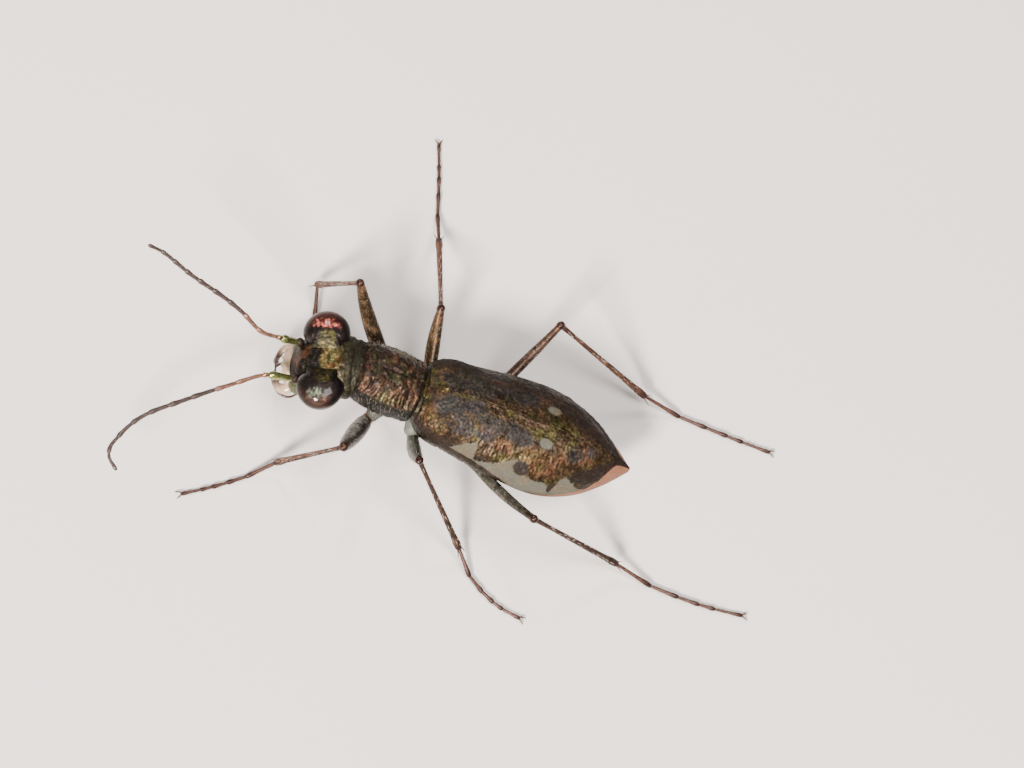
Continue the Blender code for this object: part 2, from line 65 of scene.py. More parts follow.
# Wing cases, as in the part
ELYTRA_START = 0.05
ELYTRA_LENGTH = 6.55
ELYTRA_HALF_WIDTH = 1.66
ELYTRA_CROWN = 1.12
ELYTRA_PLAN = (
    (0.0, 0.60), (0.07, 0.79), (0.18, 0.84), (0.45, 1.0),
    (0.63, 0.99), (0.79, 0.75), (0.91, 0.40), (1.0, 0.05),
)
CROWN_PLAN = (
    (0.0, 0.49), (0.08, 0.72), (0.25, 0.90), (0.5, 0.97),
    (0.65, 1.0), (0.8, 0.94), (0.92, 0.66), (1.0, 0.42),
)
EDGE_PLAN = ((0.0, 0.02), (0.15, -0.06), (0.45, -0.1), (0.7, -0.12), (0.88, -0.05), (1.0, 0.28))
BELLY_PLAN = ((0.0, -0.82), (0.2, -0.93), (0.45, -0.95), (0.7, -0.86), (0.9, -0.62), (1.0, -0.5))
SECTION_POWER = 1.85
ABDOMEN_END = 6.3
TAIL_LENGTH = 0.45

# Marks on a wing case, by place along the body (mm) and angle up from the side margin (degrees)
BAND_EDGE = (
    (1.1, 0.0), (1.22, 13.0), (1.5, 26.0), (1.86, 39.0), (1.95, 34.0), (1.99, 17.0), (2.1, 15.0),
    (2.37, 21.0), (2.69, 29.0), (3.04, 41.0), (3.2, 44.0), (3.32, 34.0), (3.6, 28.0),
    (3.86, 27.0), (4.25, 26.0), (4.38, 20.0), (4.46, 12.0), (4.52, 20.0), (4.58, 33.0), (4.74, 38.0),
    (4.92, 33.0), (5.08, 28.0), (5.3, 20.0), (5.5, 16.0), (5.7, 0.0),
)
DARK_RIM = ((0.0, 14.0), (1.2, 13.0), (2.4, 11.0), (3.0, 6.0), (3.5, -8.0), (6.6, -8.0))
# The pale band is drawn shorter on the right wing case, whose slope is painted as in shade
BAND_SHARE = {"left": 1.0, "right": 0.7}
# Upper limit of the dark flank, by place along the body; on the right it climbs the slope that faces away from the
# light, as painted shade
FLANK_DARK_AND_SHADE = {
    "left": ((0.0, 30.0), (6.6, 30.0)),
    "right": ((0.0, 54.0), (0.6, 58.0), (3.4, 62.0), (4.3, 76.0), (5.2, 88.0), (6.6, 92.0)),
}
FLANK_DARK_AND_SHADE_BLEND = 8.0
DISC_DOT = (3.78, 0.54, 0.21, 0.155)
SIDE_SPOT = (3.36, 35.0, 0.24, 9.0)
APEX_PATCH_LOW = ((4.78, 36.0), (5.05, 30.0), (5.3, 27.0), (5.64, 28.0), (5.8, 34.0), (5.95, 50.0), (6.3, 60.0))
APEX_PATCH_HIGH = ((4.78, 38.0), (4.9, 44.0), (5.14, 50.0), (5.55, 61.0), (5.8, 72.0), (6.0, 86.0), (6.3, 90.0))
CLEAR_MARGIN = ((4.0, 0.0), (4.3, 4.0), (5.0, 9.0), (5.5, 16.0), (5.8, 33.0), (5.98, 57.0), (6.1, 70.0), (6.6, 78.0))
DARK_CLOUDS = (
    (0.75, 70.0, 0.5, 17.0), (1.5, 76.0, 0.55, 15.0), (1.3, 58.0, 0.4, 9.0), (2.1, 65.0, 0.45, 12.0),
    (2.7, 70.0, 0.5, 11.0), (3.1, 64.0, 0.34, 12.0), (4.74, 66.0, 0.26, 11.0), (5.2, 76.0, 0.22, 10.0),
    (1.3, 45.0, 0.42, 8.0), (1.95, 50.0, 0.4, 7.0),
)
COPPER_CLOUDS = (
    (0.75, 24.0, 0.5, 13.0), (3.95, 46.0, 0.8, 16.0), (2.6, 50.0, 0.6, 9.0), (5.1, 70.0, 0.5, 16.0),
    (1.95, 58.0, 0.3, 9.0), (3.34, 57.0, 0.35, 9.0), (4.5, 56.0, 0.4, 12.0), (0.35, 50.0, 0.2, 25.0),
)

# Prothorax: stations of (y, half width, top, bottom)
PROTHORAX_HALF = ((-1.98, 0.74), (-1.92, 0.84), (-1.78, 0.89), (-1.3, 0.96), (-0.75, 0.97), (-0.28, 0.92), (-0.1, 0.90), (-0.04, 0.8))
PROTHORAX_TOP = ((-1.98, 0.40), (-1.92, 0.50), (-1.78, 0.56), (-1.3, 0.62), (-0.75, 0.64), (-0.28, 0.58), (-0.1, 0.52), (-0.04, 0.42))
PROTHORAX_BOTTOM = ((-1.98, -0.5), (-1.92, -0.60), (-1.78, -0.68), (-1.3, -0.78), (-0.75, -0.82), (-0.28, -0.78), (-0.1, -0.70), (-0.04, -0.6))

PROTHORAX_POWERS = (1.95, 3.4, 0.52)

# Head, in the head's own frame
HEAD_POWERS = (1.9, 2.4, 0.52)
HEAD_HALF = (
    (-2.1, 0.30), (-2.06, 0.46), (-2.0, 0.58), (-1.86, 0.67), (-1.68, 0.72), (-1.4, 0.77),
    (-0.95, 0.84), (-0.55, 0.93), (-0.28, 0.93), (-0.02, 0.82), (0.25, 0.68),
)
HEAD_TOP = (
    (-2.1, -0.46), (-2.06, -0.38), (-2.0, -0.22), (-1.86, 0.02), (-1.68, 0.24), (-1.4, 0.42),
    (-0.95, 0.50), (-0.55, 0.48), (-0.28, 0.42), (-0.02, 0.34), (0.25, 0.24),
)
HEAD_BOTTOM = (
    (-2.1, -0.9), (-2.06, -1.0), (-2.0, -1.06), (-1.86, -1.1), (-1.68, -1.12), (-1.4, -1.1),
    (-0.95, -1.0), (-0.55, -0.9), (-0.28, -0.82), (-0.02, -0.7), (0.25, -0.5),
)
EYE_CENTRE = np.array((0.80, -1.10, 0.2))
EYE_OUTER, EYE_INNER, EYE_LONG, EYE_TOP, EYE_UNDER = 0.70, 0.46, 0.69, 0.38, 0.66
# Painted highlight on each eye, a reflection painted into its colour: colour, place on the unit ball and reach along
# each axis
EYE_PAINTED_HIGHLIGHT = {
    "left": ((0.06, 0.066, 0.048), (0.47, -0.1, 0.86), (0.26, 0.46, 0.3)),
    "right": ((0.62, 0.17, 0.125), (0.28, -0.02, 0.93), (0.24, 0.58, 0.32)),
}
# Outer maroon of each eye, painted brighter on the right than on the left as painted light
EYE_RIM = {"left": (0.022, 0.011, 0.008), "right": (0.044, 0.013, 0.011)}
PLATE_RIM = (
    (-1.55, 0.48), (-1.42, 0.66), (-1.28, 0.78), (-1.08, 0.86), (-0.88, 0.82), (-0.74, 0.70), (-0.62, 0.52),
)
PLATE_HEIGHT = (
    (-1.55, 0.28), (-1.42, 0.52), (-1.28, 0.60), (-1.08, 0.65), (-0.88, 0.61), (-0.74, 0.53), (-0.62, 0.34),
)
PLATE_INNER = 0.28
ANTENNA_BASE = np.array((0.57, -1.96, -0.08))

# Hip joints on the left, by pair: inner and outer end in the body's frame, and radius
HIP_JOINTS = {
    "front": ((0.45, -0.86, -0.58), (0.9, -1.0, -0.8)),
    "middle": ((0.5, 0.36, -0.6), (0.9, 0.26, -0.76)),
    "hind": ((0.35, 2.05, -0.72), (0.85, 1.95, -0.86)),
}
HIP_RADII = {"front": 0.27, "middle": 0.33, "hind": 0.25}
DOWNY = {"front": (0.06, 0.06, 0.048), "middle": (0.11, 0.115, 0.095), "hind": (0.05, 0.05, 0.04)}

# Legs, as in the part
LEG_LENGTHS = {"front": (2.88, 2.95, 2.91), "middle": (2.54, 3.52, 3.36), "hind": (3.55, 3.96, 4.23)}
HIPS = {"front": (0.48, -1.03, -0.95), "middle": (0.48, 0.38, -1.0), "hind": (0.62, 1.98, -1.0)}
LEG_POSES = {
    ("front", "left"): (-17.0, 32.5, -92.7, -49.1, -59.0),
    ("middle", "left"): (3.6, 41.4, 65.0, 42.0, 84.0),
    ("hind", "left"): (45.1, 27.4, 100.6, 82.0, 98.0),
    ("front", "right"): (-40.7, 34.7, -44.4, -196.0, -196.0),
    ("middle", "right"): (-7.6, 21.2, -6.0, -10.0, -15.0),
    ("hind", "right"): (29.5, 23.0, 93.8, 93.9, 90.7),
}
SHORT_TARSUS = {("middle", "left"): 0.82, ("hind", "left"): 0.987}
TARSUS_SHARES = (0.30, 0.21, 0.16, 0.12, 0.21)
ANKLE_HEIGHT = 0.5
FEMUR_SAG = 0.2
THIGH_STARTS = {"front": (1.04, -1.1, -0.9), "middle": (1.0, 0.36, -0.84), "hind": (0.98, 2.2, -0.86)}
# Painted lit upper colour and painted shaded lower colour of each thigh, and the colour near its knee
THIGH_TINTS = {
    ("front", "left"): ((0.30, 0.29, 0.26), (0.02, 0.012, 0.009), (0.04, 0.018, 0.013)),
    ("middle", "left"): ((0.14, 0.145, 0.12), (0.04, 0.03, 0.022), (0.03, 0.014, 0.010)),
    ("hind", "left"): ((0.065, 0.062, 0.05), (0.026, 0.021, 0.016), (0.035, 0.024, 0.017)),
    ("front", "right"): ((0.14, 0.085, 0.048), (0.04, 0.024, 0.014), (0.12, 0.07, 0.04)),
    ("middle", "right"): ((0.085, 0.05, 0.024), (0.036, 0.02, 0.012), (0.09, 0.045, 0.024)),
    ("hind", "right"): ((0.085, 0.05, 0.038), (0.05, 0.03, 0.022), (0.09, 0.045, 0.03)),
}
FEMUR_RADII = {
    "front": ((0.0, 0.18), (0.1, 0.24), (0.3, 0.265), (0.5, 0.25), (0.75, 0.205), (0.93, 0.155), (1.0, 0.135)),
    "middle": ((0.0, 0.14), (0.08, 0.17), (0.3, 0.205), (0.6, 0.19), (0.85, 0.145), (0.95, 0.12), (1.0, 0.12)),
    "hind": ((0.0, 0.12), (0.08, 0.14), (0.3, 0.155), (0.6, 0.145), (0.85, 0.115), (0.95, 0.105), (1.0, 0.11)),
}
# The right front thigh turns its narrow edge to the viewer
NARROW_THIGH = {("front", "right"): 0.88}
TIBIA_RADII = ((0.0, 0.095), (0.05, 0.078), (0.2, 0.066), (0.6, 0.082), (0.88, 0.095), (0.94, 0.115), (1.0, 0.105))
TARSUS_RADII = (0.064, 0.062, 0.06, 0.058, 0.052)
# The limbs' painted lit face, paler than the painted shaded face, looks forward and up
LIT_FACE = np.array((0.0, -0.6, 0.8))
# Small joint between hip and thigh, and the shin's colours: painted lit upper, painted shaded lower and far end
JOINT_TINTS = {
    ("front", "left"): (0.16, 0.06, 0.025),
    ("middle", "left"): (0.12, 0.125, 0.10),
    ("hind", "left"): (0.05, 0.04, 0.028),
    ("front", "right"): (0.10, 0.04, 0.02),
    ("middle", "right"): (0.08, 0.05, 0.026),
    ("hind", "right"): (0.06, 0.035, 0.022),
}
SHIN_TINTS = {
    "left": ((0.095, 0.044, 0.031), (0.034, 0.017, 0.012), (0.018, 0.008, 0.007)),
    "right": ((0.115, 0.050, 0.032), (0.05, 0.022, 0.015), (0.028, 0.011, 0.009)),
}
CLAW_LENGTH = 0.22
SPUR_LENGTH = 0.34

# Feelers: bends of the centre line in the floor's frame, and the joints' lengths as shares
ANTENNA_BENDS = {
    "left": (
        (1.14, -4.5, 2.4), (1.68, -5.21, 2.44), (2.79, -6.55, 2.5),
        (3.71, -7.58, 2.44), (4.69, -8.11, 2.32), (5.06, -8.1, 2.27), (5.36, -7.79, 2.2),
    ),
    "right": (
        (-0.05, -4.45, 2.6), (0.04, -5.0, 2.78), (-0.17, -5.66, 3.08),
        (-0.29, -6.29, 3.35), (-0.41, -7.49, 3.83), (-0.6, -8.5, 4.23), (-0.57, -8.94, 4.4),
    ),
}
ANTENNOMERE_SHARES = (0.108, 0.034, 0.125, 0.1, 0.112, 0.1, 0.095, 0.088, 0.082, 0.078, 0.078)

# Colours, linear
BRONZE = (0.042, 0.026, 0.015)
OLIVE = (0.046, 0.038, 0.014)
COPPER = (0.115, 0.046, 0.023)
GREEN_GOLD = (0.17, 0.145, 0.045)
BLUE_BLACK = (0.017, 0.016, 0.018)
UMBER = (0.012, 0.007, 0.005)
IVORY = (0.080, 0.064, 0.041)
PALE_GREY = (0.070, 0.065, 0.050)
CLEAR_TAN = (0.175, 0.074, 0.042)


def turn(axis, degrees):
    """A rotation matrix about one axis."""
    cosine = math.cos(math.radians(degrees))
    sine = math.sin(math.radians(degrees))
    if axis == "X":
        return np.array(((1, 0, 0), (0, cosine, -sine), (0, sine, cosine)))
    if axis == "Y":
        return np.array(((cosine, 0, sine), (0, 1, 0), (-sine, 0, cosine)))
    return np.array(((cosine, -sine, 0), (sine, cosine, 0), (0, 0, 1)))


BODY_TURN = turn("X", -BODY_PITCH)
HEAD_TURN = turn("Z", HEAD_YAW) @ turn("X", -HEAD_PITCH) @ turn("Y", HEAD_ROLL)


def body_to_floor(points):
    return np.asarray(points, float) @ BODY_TURN.T + np.array((0.0, 0.0, RIDE_HEIGHT))


def head_to_floor(points):
    return body_to_floor(np.asarray(points, float) @ HEAD_TURN.T + HEAD_PIVOT)


def mirrored(points, side):
    """Points of the left side, or the same points carried over to the right."""
    points = np.array(points, float)
    if side == "right":
        points[..., 0] = -points[..., 0]
    return points


def along(stations, shares):
    """The smooth curve through a few (position, value) stations, read at many positions."""
    table = np.array(stations, float)
    last = len(table) - 1
    shares = np.clip(shares, table[0, 0], table[last, 0])
    index = np.clip(np.searchsorted(table[:, 0], shares, side="right") - 1, 0, last - 1)
    x0, v0 = table[index, 0], table[index, 1]
    x1, v1 = table[index + 1, 0], table[index + 1, 1]
    before = table[np.maximum(index - 1, 0)]
    after = table[np.minimum(index + 2, last)]
    slope0 = (v1 - before[..., 1]) / (x1 - before[..., 0])
    slope1 = (after[..., 1] - v0) / (after[..., 0] - x0)
    span = x1 - x0
    t = (shares - x0) / span
    ease_in = v0 * (1 + 2 * t) * (1 - t) ** 2 + slope0 * span * t * (1 - t) ** 2
    ease_out = v1 * t * t * (3 - 2 * t) - slope1 * span * t * t * (1 - t)
    return ease_in + ease_out


def straight(stations, positions):
    table = np.array(stations, float)
    return np.interp(positions, table[:, 0], table[:, 1])


def power(values, exponent):
    return np.sign(values) * np.abs(values) ** exponent


def step(values, low, high):
    """0 below low, 1 above high, eased between."""
    t = np.clip((values - low) / (high - low), 0.0, 1.0)
    return t * t * (3 - 2 * t)


def hashed(cells, seed):
    """A number from 0 to 1 for each integer cell."""
    mixed = np.full(cells.shape[:-1], seed * 7919 + 12345, np.int64)
    for axis in range(cells.shape[-1]):
        mixed = (mixed ^ (cells[..., axis].astype(np.int64) * (73856093, 19349663, 83492791)[axis])) & 0xFFFFFFFF
        mixed = (mixed * 668265263) & 0xFFFFFFFF
        mixed = mixed ^ (mixed >> 15)
    return mixed / 0xFFFFFFFF


def noise(points, size, seed=0):
    """Smooth value noise from -1 to 1, with features of a given size."""
    scaled = np.asarray(points, float) / size
    base = np.floor(scaled)
    fraction = scaled - base
    fade = fraction * fraction * (3 - 2 * fraction)
    total = np.zeros(scaled.shape[:-1])
    for corner in itertools.product((0, 1), repeat=scaled.shape[-1]):
        weight = np.prod(np.where(np.array(corner), fade, 1 - fade), axis=-1)
        total = total + weight * hashed((base + corner).astype(np.int64), seed)
    return 2 * total - 1


def pits(u, v, spacing, seed):
    """How deep each place lies in a field of scattered round pits, from 0 to 1."""
    places = np.stack([u, v], axis=-1) / spacing
    base = np.floor(places).astype(np.int64)
    nearest = np.full(u.shape, 9.0)
    for offset in itertools.product((-1, 0, 1), repeat=2):
        cell = base + np.array(offset)
        jitter = np.stack([hashed(cell, seed), hashed(cell, seed + 1)], axis=-1)
        gap = np.linalg.norm(places - cell - 0.15 - 0.7 * jitter, axis=-1)
        nearest = np.minimum(nearest, gap)
    return 1 - step(nearest, 0.12, 0.48)


def mix(first, second, amount):
    """Colours mixed place by place."""
    amount = np.asarray(amount)[..., None]
    return np.asarray(first) * (1 - amount) + np.asarray(second) * amount


class Surface:
    """Points, faces and per-point values gathered piece by piece before they become a mesh."""

    def __init__(self):
        self.points = []
        self.faces = []
        self.values = {"tint": [], "shine": [], "rough": []}
        self.patches = []
        self.count = 0

    def add(self, points, faces, tint=BRONZE, shine=0.6, rough=0.4, patches=None):
        points = np.asarray(points, float).reshape(-1, 3)
        size = len(points)
        self.points.append(points)
        for group in faces:
            self.faces.append(np.asarray(group) + self.count)
        self.values["tint"].append(np.broadcast_to(np.asarray(tint, float).reshape(-1, 3), (size, 3)))
        self.values["shine"].append(np.broadcast_to(np.asarray(shine, float).reshape(-1), (size,)))
        self.values["rough"].append(np.broadcast_to(np.asarray(rough, float).reshape(-1), (size,)))
        if patches is not None:
            self.patches.append(patches)
        self.count += size

    def build(self, name, material, node=None):
        """Makes the mesh object, lets it ride on the body and hides the parts that it replaces."""
        points = (np.concatenate(self.points) + FOOTPRINT_SHIFT) * MM
        corners = np.concatenate([group.reshape(-1) for group in self.faces])
        sizes = np.concatenate([np.full(len(group), group.shape[1]) for group in self.faces])
        mesh = bpy.data.meshes.new(name)
        mesh.vertices.add(len(points))
        mesh.vertices.foreach_set("co", points.astype(np.float32).ravel())
        mesh.loops.add(len(corners))
        mesh.loops.foreach_set("vertex_index", corners.astype(np.int32))
        mesh.polygons.add(len(sizes))
        mesh.polygons.foreach_set("loop_start", np.concatenate([[0], np.cumsum(sizes)[:-1]]).astype(np.int32))
        mesh.polygons.foreach_set("use_smooth", np.ones(len(sizes), bool))
        mesh.update(calc_edges=True)
        self.write_values(mesh, corners)
        made = bpy.data.objects.new(name, mesh)
        bpy.context.scene.collection.objects.link(made)
        mesh.materials.append(material)
        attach(made, "root")
        if node:
            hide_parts(*node)
        return made

    def write_values(self, mesh, corners):
        tint = np.concatenate(self.values["tint"])
        colours = np.concatenate([tint, np.ones((len(tint), 1))], axis=1)
        layer = mesh.color_attributes.new("tint", "FLOAT_COLOR", "POINT")
        layer.data.foreach_set("color", colours.astype(np.float32).ravel())
        for key in ("shine", "rough"):
            layer = mesh.attributes.new(key, "FLOAT", "POINT")
            layer.data.foreach_set("value", np.concatenate(self.values[key]).astype(np.float32))
        if self.patches:
            patches = np.concatenate(self.patches)
            layer = mesh.uv_layers.new(name="OFBake")
            layer.data.foreach_set("uv", patches[corners].astype(np.float32).ravel())


def grid_faces(rows, columns, wrap=False, flip=False):
    """Quads over a grid of points, joined round its columns where it wraps."""
    index = np.arange(rows * columns).reshape(rows, columns)
    if wrap:
        index = np.concatenate([index, index[:, :1]], axis=1)
    corners = [index[:-1, :-1], index[:-1, 1:], index[1:, 1:], index[1:, :-1]]
    if flip:
        corners.reverse()
    return np.stack(corners, axis=-1).reshape(-1, 4)


def cap_faces(start, count, centre, flip=False):
    """A fan of triangles from a centre point to a ring."""
    ring = start + np.arange(count)
    fan = np.stack([np.full(count, centre), ring, np.roll(ring, -1)], axis=-1)
    return fan[:, ::-1] if flip else fan


def outward(points, faces):
    """Turns the faces of a closed surface so that they look out."""
    volume = 0.0
    for group in faces:
        for i in range(1, group.shape[1] - 1):
            a, b, c = points[group[:, 0]], points[group[:, i]], points[group[:, i + 1]]
            volume += np.einsum("ij,ij->", a - points[0], np.cross(b - points[0], c - points[0]))
    return [group[:, ::-1] for group in faces] if volume < 0 else faces


def closed_rings(rings):
    """Points and outward faces of a solid through rings, closed at both ends."""
    rows, columns = rings.shape[:2]
    points = np.concatenate([rings.reshape(-1, 3), rings[0].mean(0)[None], rings[-1].mean(0)[None]])
    total = rows * columns
    faces = [
        grid_faces(rows, columns, wrap=True),
        cap_faces(0, columns, total, flip=True),
        cap_faces(total - columns, columns, total + 1),
    ]
    return points, outward(points, faces)


def ring_values(values):
    """Per-point values for closed_rings: those of the grid, and the two centres'."""
    rows = values.reshape(values.shape[0] * values.shape[1], *values.shape[2:])
    return np.concatenate([rows, values[0].mean(0)[None], values[-1].mean(0)[None]])


def grid_normals(grid, wrap=False):
    """Unit normals of a grid of points, by its two directions."""
    along_rows = np.gradient(grid, axis=0)
    if wrap:
        padded = np.concatenate([grid[:, -1:], grid, grid[:, :1]], axis=1)
        across = (padded[:, 2:] - padded[:, :-2]) / 2
    else:
        across = np.gradient(grid, axis=1)
    normals = np.cross(along_rows, across)
    return normals / np.maximum(np.linalg.norm(normals, axis=-1, keepdims=True), 1e-12)


def smooth_line(points, count):
    """A line through points, rounded at its bends and resampled evenly."""
    points = np.asarray(points, float)
    gaps = np.linalg.norm(np.diff(points, axis=0), axis=1)
    reach = np.concatenate([[0.0], np.cumsum(gaps)])
    places = np.linspace(0.0, reach[-1], count)
    return np.stack([along(np.stack([reach, points[:, axis]], axis=1), places) for axis in range(3)], axis=1)


def line_frames(line):
    """Tangent and two side directions at each point of a line, carried along without twist."""
    tangents = np.gradient(line, axis=0)
    tangents /= np.linalg.norm(tangents, axis=1, keepdims=True)
    side = np.cross(tangents[0], (0.0, 0.0, 1.0))
    if np.linalg.norm(side) < 1e-3:
        side = np.array((1.0, 0.0, 0.0))
    sides = []
    for tangent in tangents:
        side = side - tangent * (side @ tangent)
        side = side / np.linalg.norm(side)
        sides.append(side)
    sides = np.array(sides)
    return tangents, sides, np.cross(tangents, sides)


def tube_rings(line, radii, sides=14, flat=1.0):
    """Rings of points round a line; flat below 1 makes them oval, low across the second direction."""
    _, first, second = line_frames(line)
    angles = np.linspace(0, 2 * np.pi, sides, endpoint=False)
    radii = np.broadcast_to(radii, (len(line),))[:, None, None]
    round_part = first[:, None] * np.cos(angles)[None, :, None]
    flat_part = second[:, None] * np.sin(angles)[None, :, None] * flat
    return line[:, None] + radii * (round_part + flat_part)


def limb(surface, line_points, stations, count=28, sides=14, flat=1.0, **looks):
    """A round limb through a few points, with radii by share and rounded ends."""
    line = smooth_line(line_points, count)
    radii = along(stations, np.linspace(0.0, 1.0, count))
    tangents, _, _ = line_frames(line)
    caps = np.array((0.15, 0.6, 0.88))
    lead = np.array([line[0] - tangents[0] * radii[0] * math.sqrt(1 - cap * cap) * 0.8 for cap in caps])
    trail = np.array([line[-1] + tangents[-1] * radii[-1] * math.sqrt(1 - cap * cap) * 0.8 for cap in caps[::-1]])
    whole = np.concatenate([lead, line, trail])
    sizes = np.concatenate([caps * radii[0], radii, caps[::-1] * radii[-1]])
    rings = tube_rings(whole, sizes, sides, flat)
    points, faces = closed_rings(rings)
    looks = {key: ring_looks(value, whole, sides) for key, value in looks.items()}
    surface.add(points, faces, **looks)
    return line, radii


def ring_looks(value, line, sides):
    """Spreads a per-ring function of the share along a limb over its rings, or passes a constant on."""
    if not callable(value):
        return value
    shares = np.linspace(0.0, 1.0, len(line))
    table = np.asarray([value(share) for share in shares], float)
    spread = np.repeat(table[:, None], sides, axis=1)
    return ring_values(spread)


def ball(surface, centre, radii, to_floor, segments=24, rings=14, **looks):
    """A rounded knob in one of the frames."""
    polar = np.linspace(0.02, np.pi - 0.02, rings)
    angles = np.linspace(0, 2 * np.pi, segments, endpoint=False)
    unit = np.stack([
        np.sin(polar)[:, None] * np.cos(angles)[None],
        np.sin(polar)[:, None] * np.sin(angles)[None],
        np.repeat(np.cos(polar)[:, None], segments, axis=1),
    ], axis=-1)
    grid = to_floor(np.asarray(centre) + unit * np.asarray(radii))
    points, faces = closed_rings(grid)
    surface.add(points, faces, **looks)


def half_width(y):
    return ELYTRA_HALF_WIDTH * along(ELYTRA_PLAN, (y - ELYTRA_START) / ELYTRA_LENGTH)


def crown(y):
    return ELYTRA_CROWN * along(CROWN_PLAN, (y - ELYTRA_START) / ELYTRA_LENGTH)


def edge(y):
    return along(EDGE_PLAN, (y - ELYTRA_START) / ELYTRA_LENGTH)


def belly(y):
    return along(BELLY_PLAN, (y - ELYTRA_START) / ELYTRA_LENGTH)


# Shader graphs

def add_node(tree, kind, settings=(), inputs=()):
    made = tree.nodes.new(kind)
    for key, value in dict(settings).items():
        setattr(made, key, value)
    for key, value in dict(inputs).items():
        if isinstance(value, bpy.types.NodeSocket):
            tree.links.new(value, made.inputs[key])
        else:
            made.inputs[key].default_value = value
    return made


def new_material(name):
    made = bpy.data.materials.new(name)
    made.use_nodes = True
    tree = made.node_tree
    return made, tree, tree.nodes["Principled BSDF"]


def millimetre_coordinates(tree):
    """The object's own coordinates, in millimetres."""
    place = add_node(tree, "ShaderNodeTexCoord")
    return add_node(
        tree, "ShaderNodeVectorMath", {"operation": "SCALE"}, {0: place.outputs["Object"], "Scale": 1 / MM}
    ).outputs[0]


def value_map(tree, value, low, high, to_low, to_high):
    return add_node(
        tree, "ShaderNodeMapRange", {"clamp": True},
        {"Value": value, "From Min": low, "From Max": high, "To Min": to_low, "To Max": to_high},
    ).outputs[0]


def arithmetic(tree, operation, first, second):
    return add_node(tree, "ShaderNodeMath", {"operation": operation}, {0: first, 1: second}).outputs[0]


def colour_mix(tree, blend, amount, first, second):
    made = add_node(tree, "ShaderNodeMix", {"data_type": "RGBA", "blend_type": blend})
    for key, value in ((0, amount), (6, first), (7, second)):
        if isinstance(value, bpy.types.NodeSocket):
            tree.links.new(value, made.inputs[key])
        else:
            made.inputs[key].default_value = value
    return made.outputs[2]


def cuticle(name, grain=15.0, sparkle=0.5, relief=0.5, coat=0.0, specks=((0.22, 0.085, 0.035), (0.22, 0.18, 0.07))):
    """Insect shell: the painted tint, broken up by metallic specks, with a finely grained surface."""
    made, tree, shader = new_material(name)
    place = millimetre_coordinates(tree)
    tint = add_node(tree, "ShaderNodeAttribute", {"attribute_name": "tint"}).outputs["Color"]
    shine = add_node(tree, "ShaderNodeAttribute", {"attribute_name": "shine"}).outputs["Fac"]
    rough = add_node(tree, "ShaderNodeAttribute", {"attribute_name": "rough"}).outputs["Fac"]
    broad = add_node(tree, "ShaderNodeTexNoise", (), {"Vector": place, "Scale": grain * 0.35, "Detail": 3.0})
    fine = add_node(tree, "ShaderNodeTexNoise", (), {"Vector": place, "Scale": grain * 1.6, "Detail": 4.0})
    cells = add_node(tree, "ShaderNodeTexVoronoi", (), {"Vector": place, "Scale": grain})
    facets = add_node(tree, "ShaderNodeTexVoronoi", (), {"Vector": place, "Scale": grain * 2.1})
    shade = value_map(tree, broad.outputs["Fac"], 0.3, 0.7, 0.6, 1.4)
    patchy = value_map(tree, cells.outputs["Distance"], 0.05, 0.6, 1.3, 0.6)
    level = arithmetic(tree, "MULTIPLY", shade, patchy)
    uneven_paint = value_map(tree, shine, 0.05, 0.35, 0.25, 1.0)
    dimmed = colour_mix(tree, "MULTIPLY", uneven_paint, tint, level)
    warmth = colour_mix(
        tree, "MIX", value_map(tree, fine.outputs["Fac"], 0.42, 0.58, 0.0, 1.0),
        (*specks[0], 1.0), (*specks[1], 1.0),
    )
    lucky = add_node(tree, "ShaderNodeSeparateColor", (), {"Color": facets.outputs["Color"]}).outputs[0]
    chance = value_map(tree, lucky, 0.68, 0.95, 0.0, sparkle)
    spark = arithmetic(tree, "MULTIPLY", chance, shine)
    coloured = colour_mix(tree, "MIX", spark, dimmed, warmth)
    tree.links.new(coloured, shader.inputs["Base Color"])
    tree.links.new(shine, shader.inputs["Metallic"])
    uneven = value_map(tree, fine.outputs["Fac"], 0.3, 0.7, -0.08, 0.08)
    tree.links.new(arithmetic(tree, "ADD", rough, uneven), shader.inputs["Roughness"])
    height = arithmetic(tree, "MULTIPLY", cells.outputs["Distance"], 0.4)
    height = arithmetic(tree, "ADD", height, fine.outputs["Fac"])
    height = arithmetic(tree, "ADD", height, broad.outputs["Fac"])
    shader.inputs["Specular IOR Level"].default_value = 0.12
    bump = add_node(tree, "ShaderNodeBump", (), {"Strength": relief, "Distance": 0.02 * MM, "Height": height})
    tree.links.new(bump.outputs[0], shader.inputs["Normal"])
    shader.inputs["Coat Weight"].default_value = coat
    shader.inputs["Coat Roughness"].default_value = 0.2
    return made


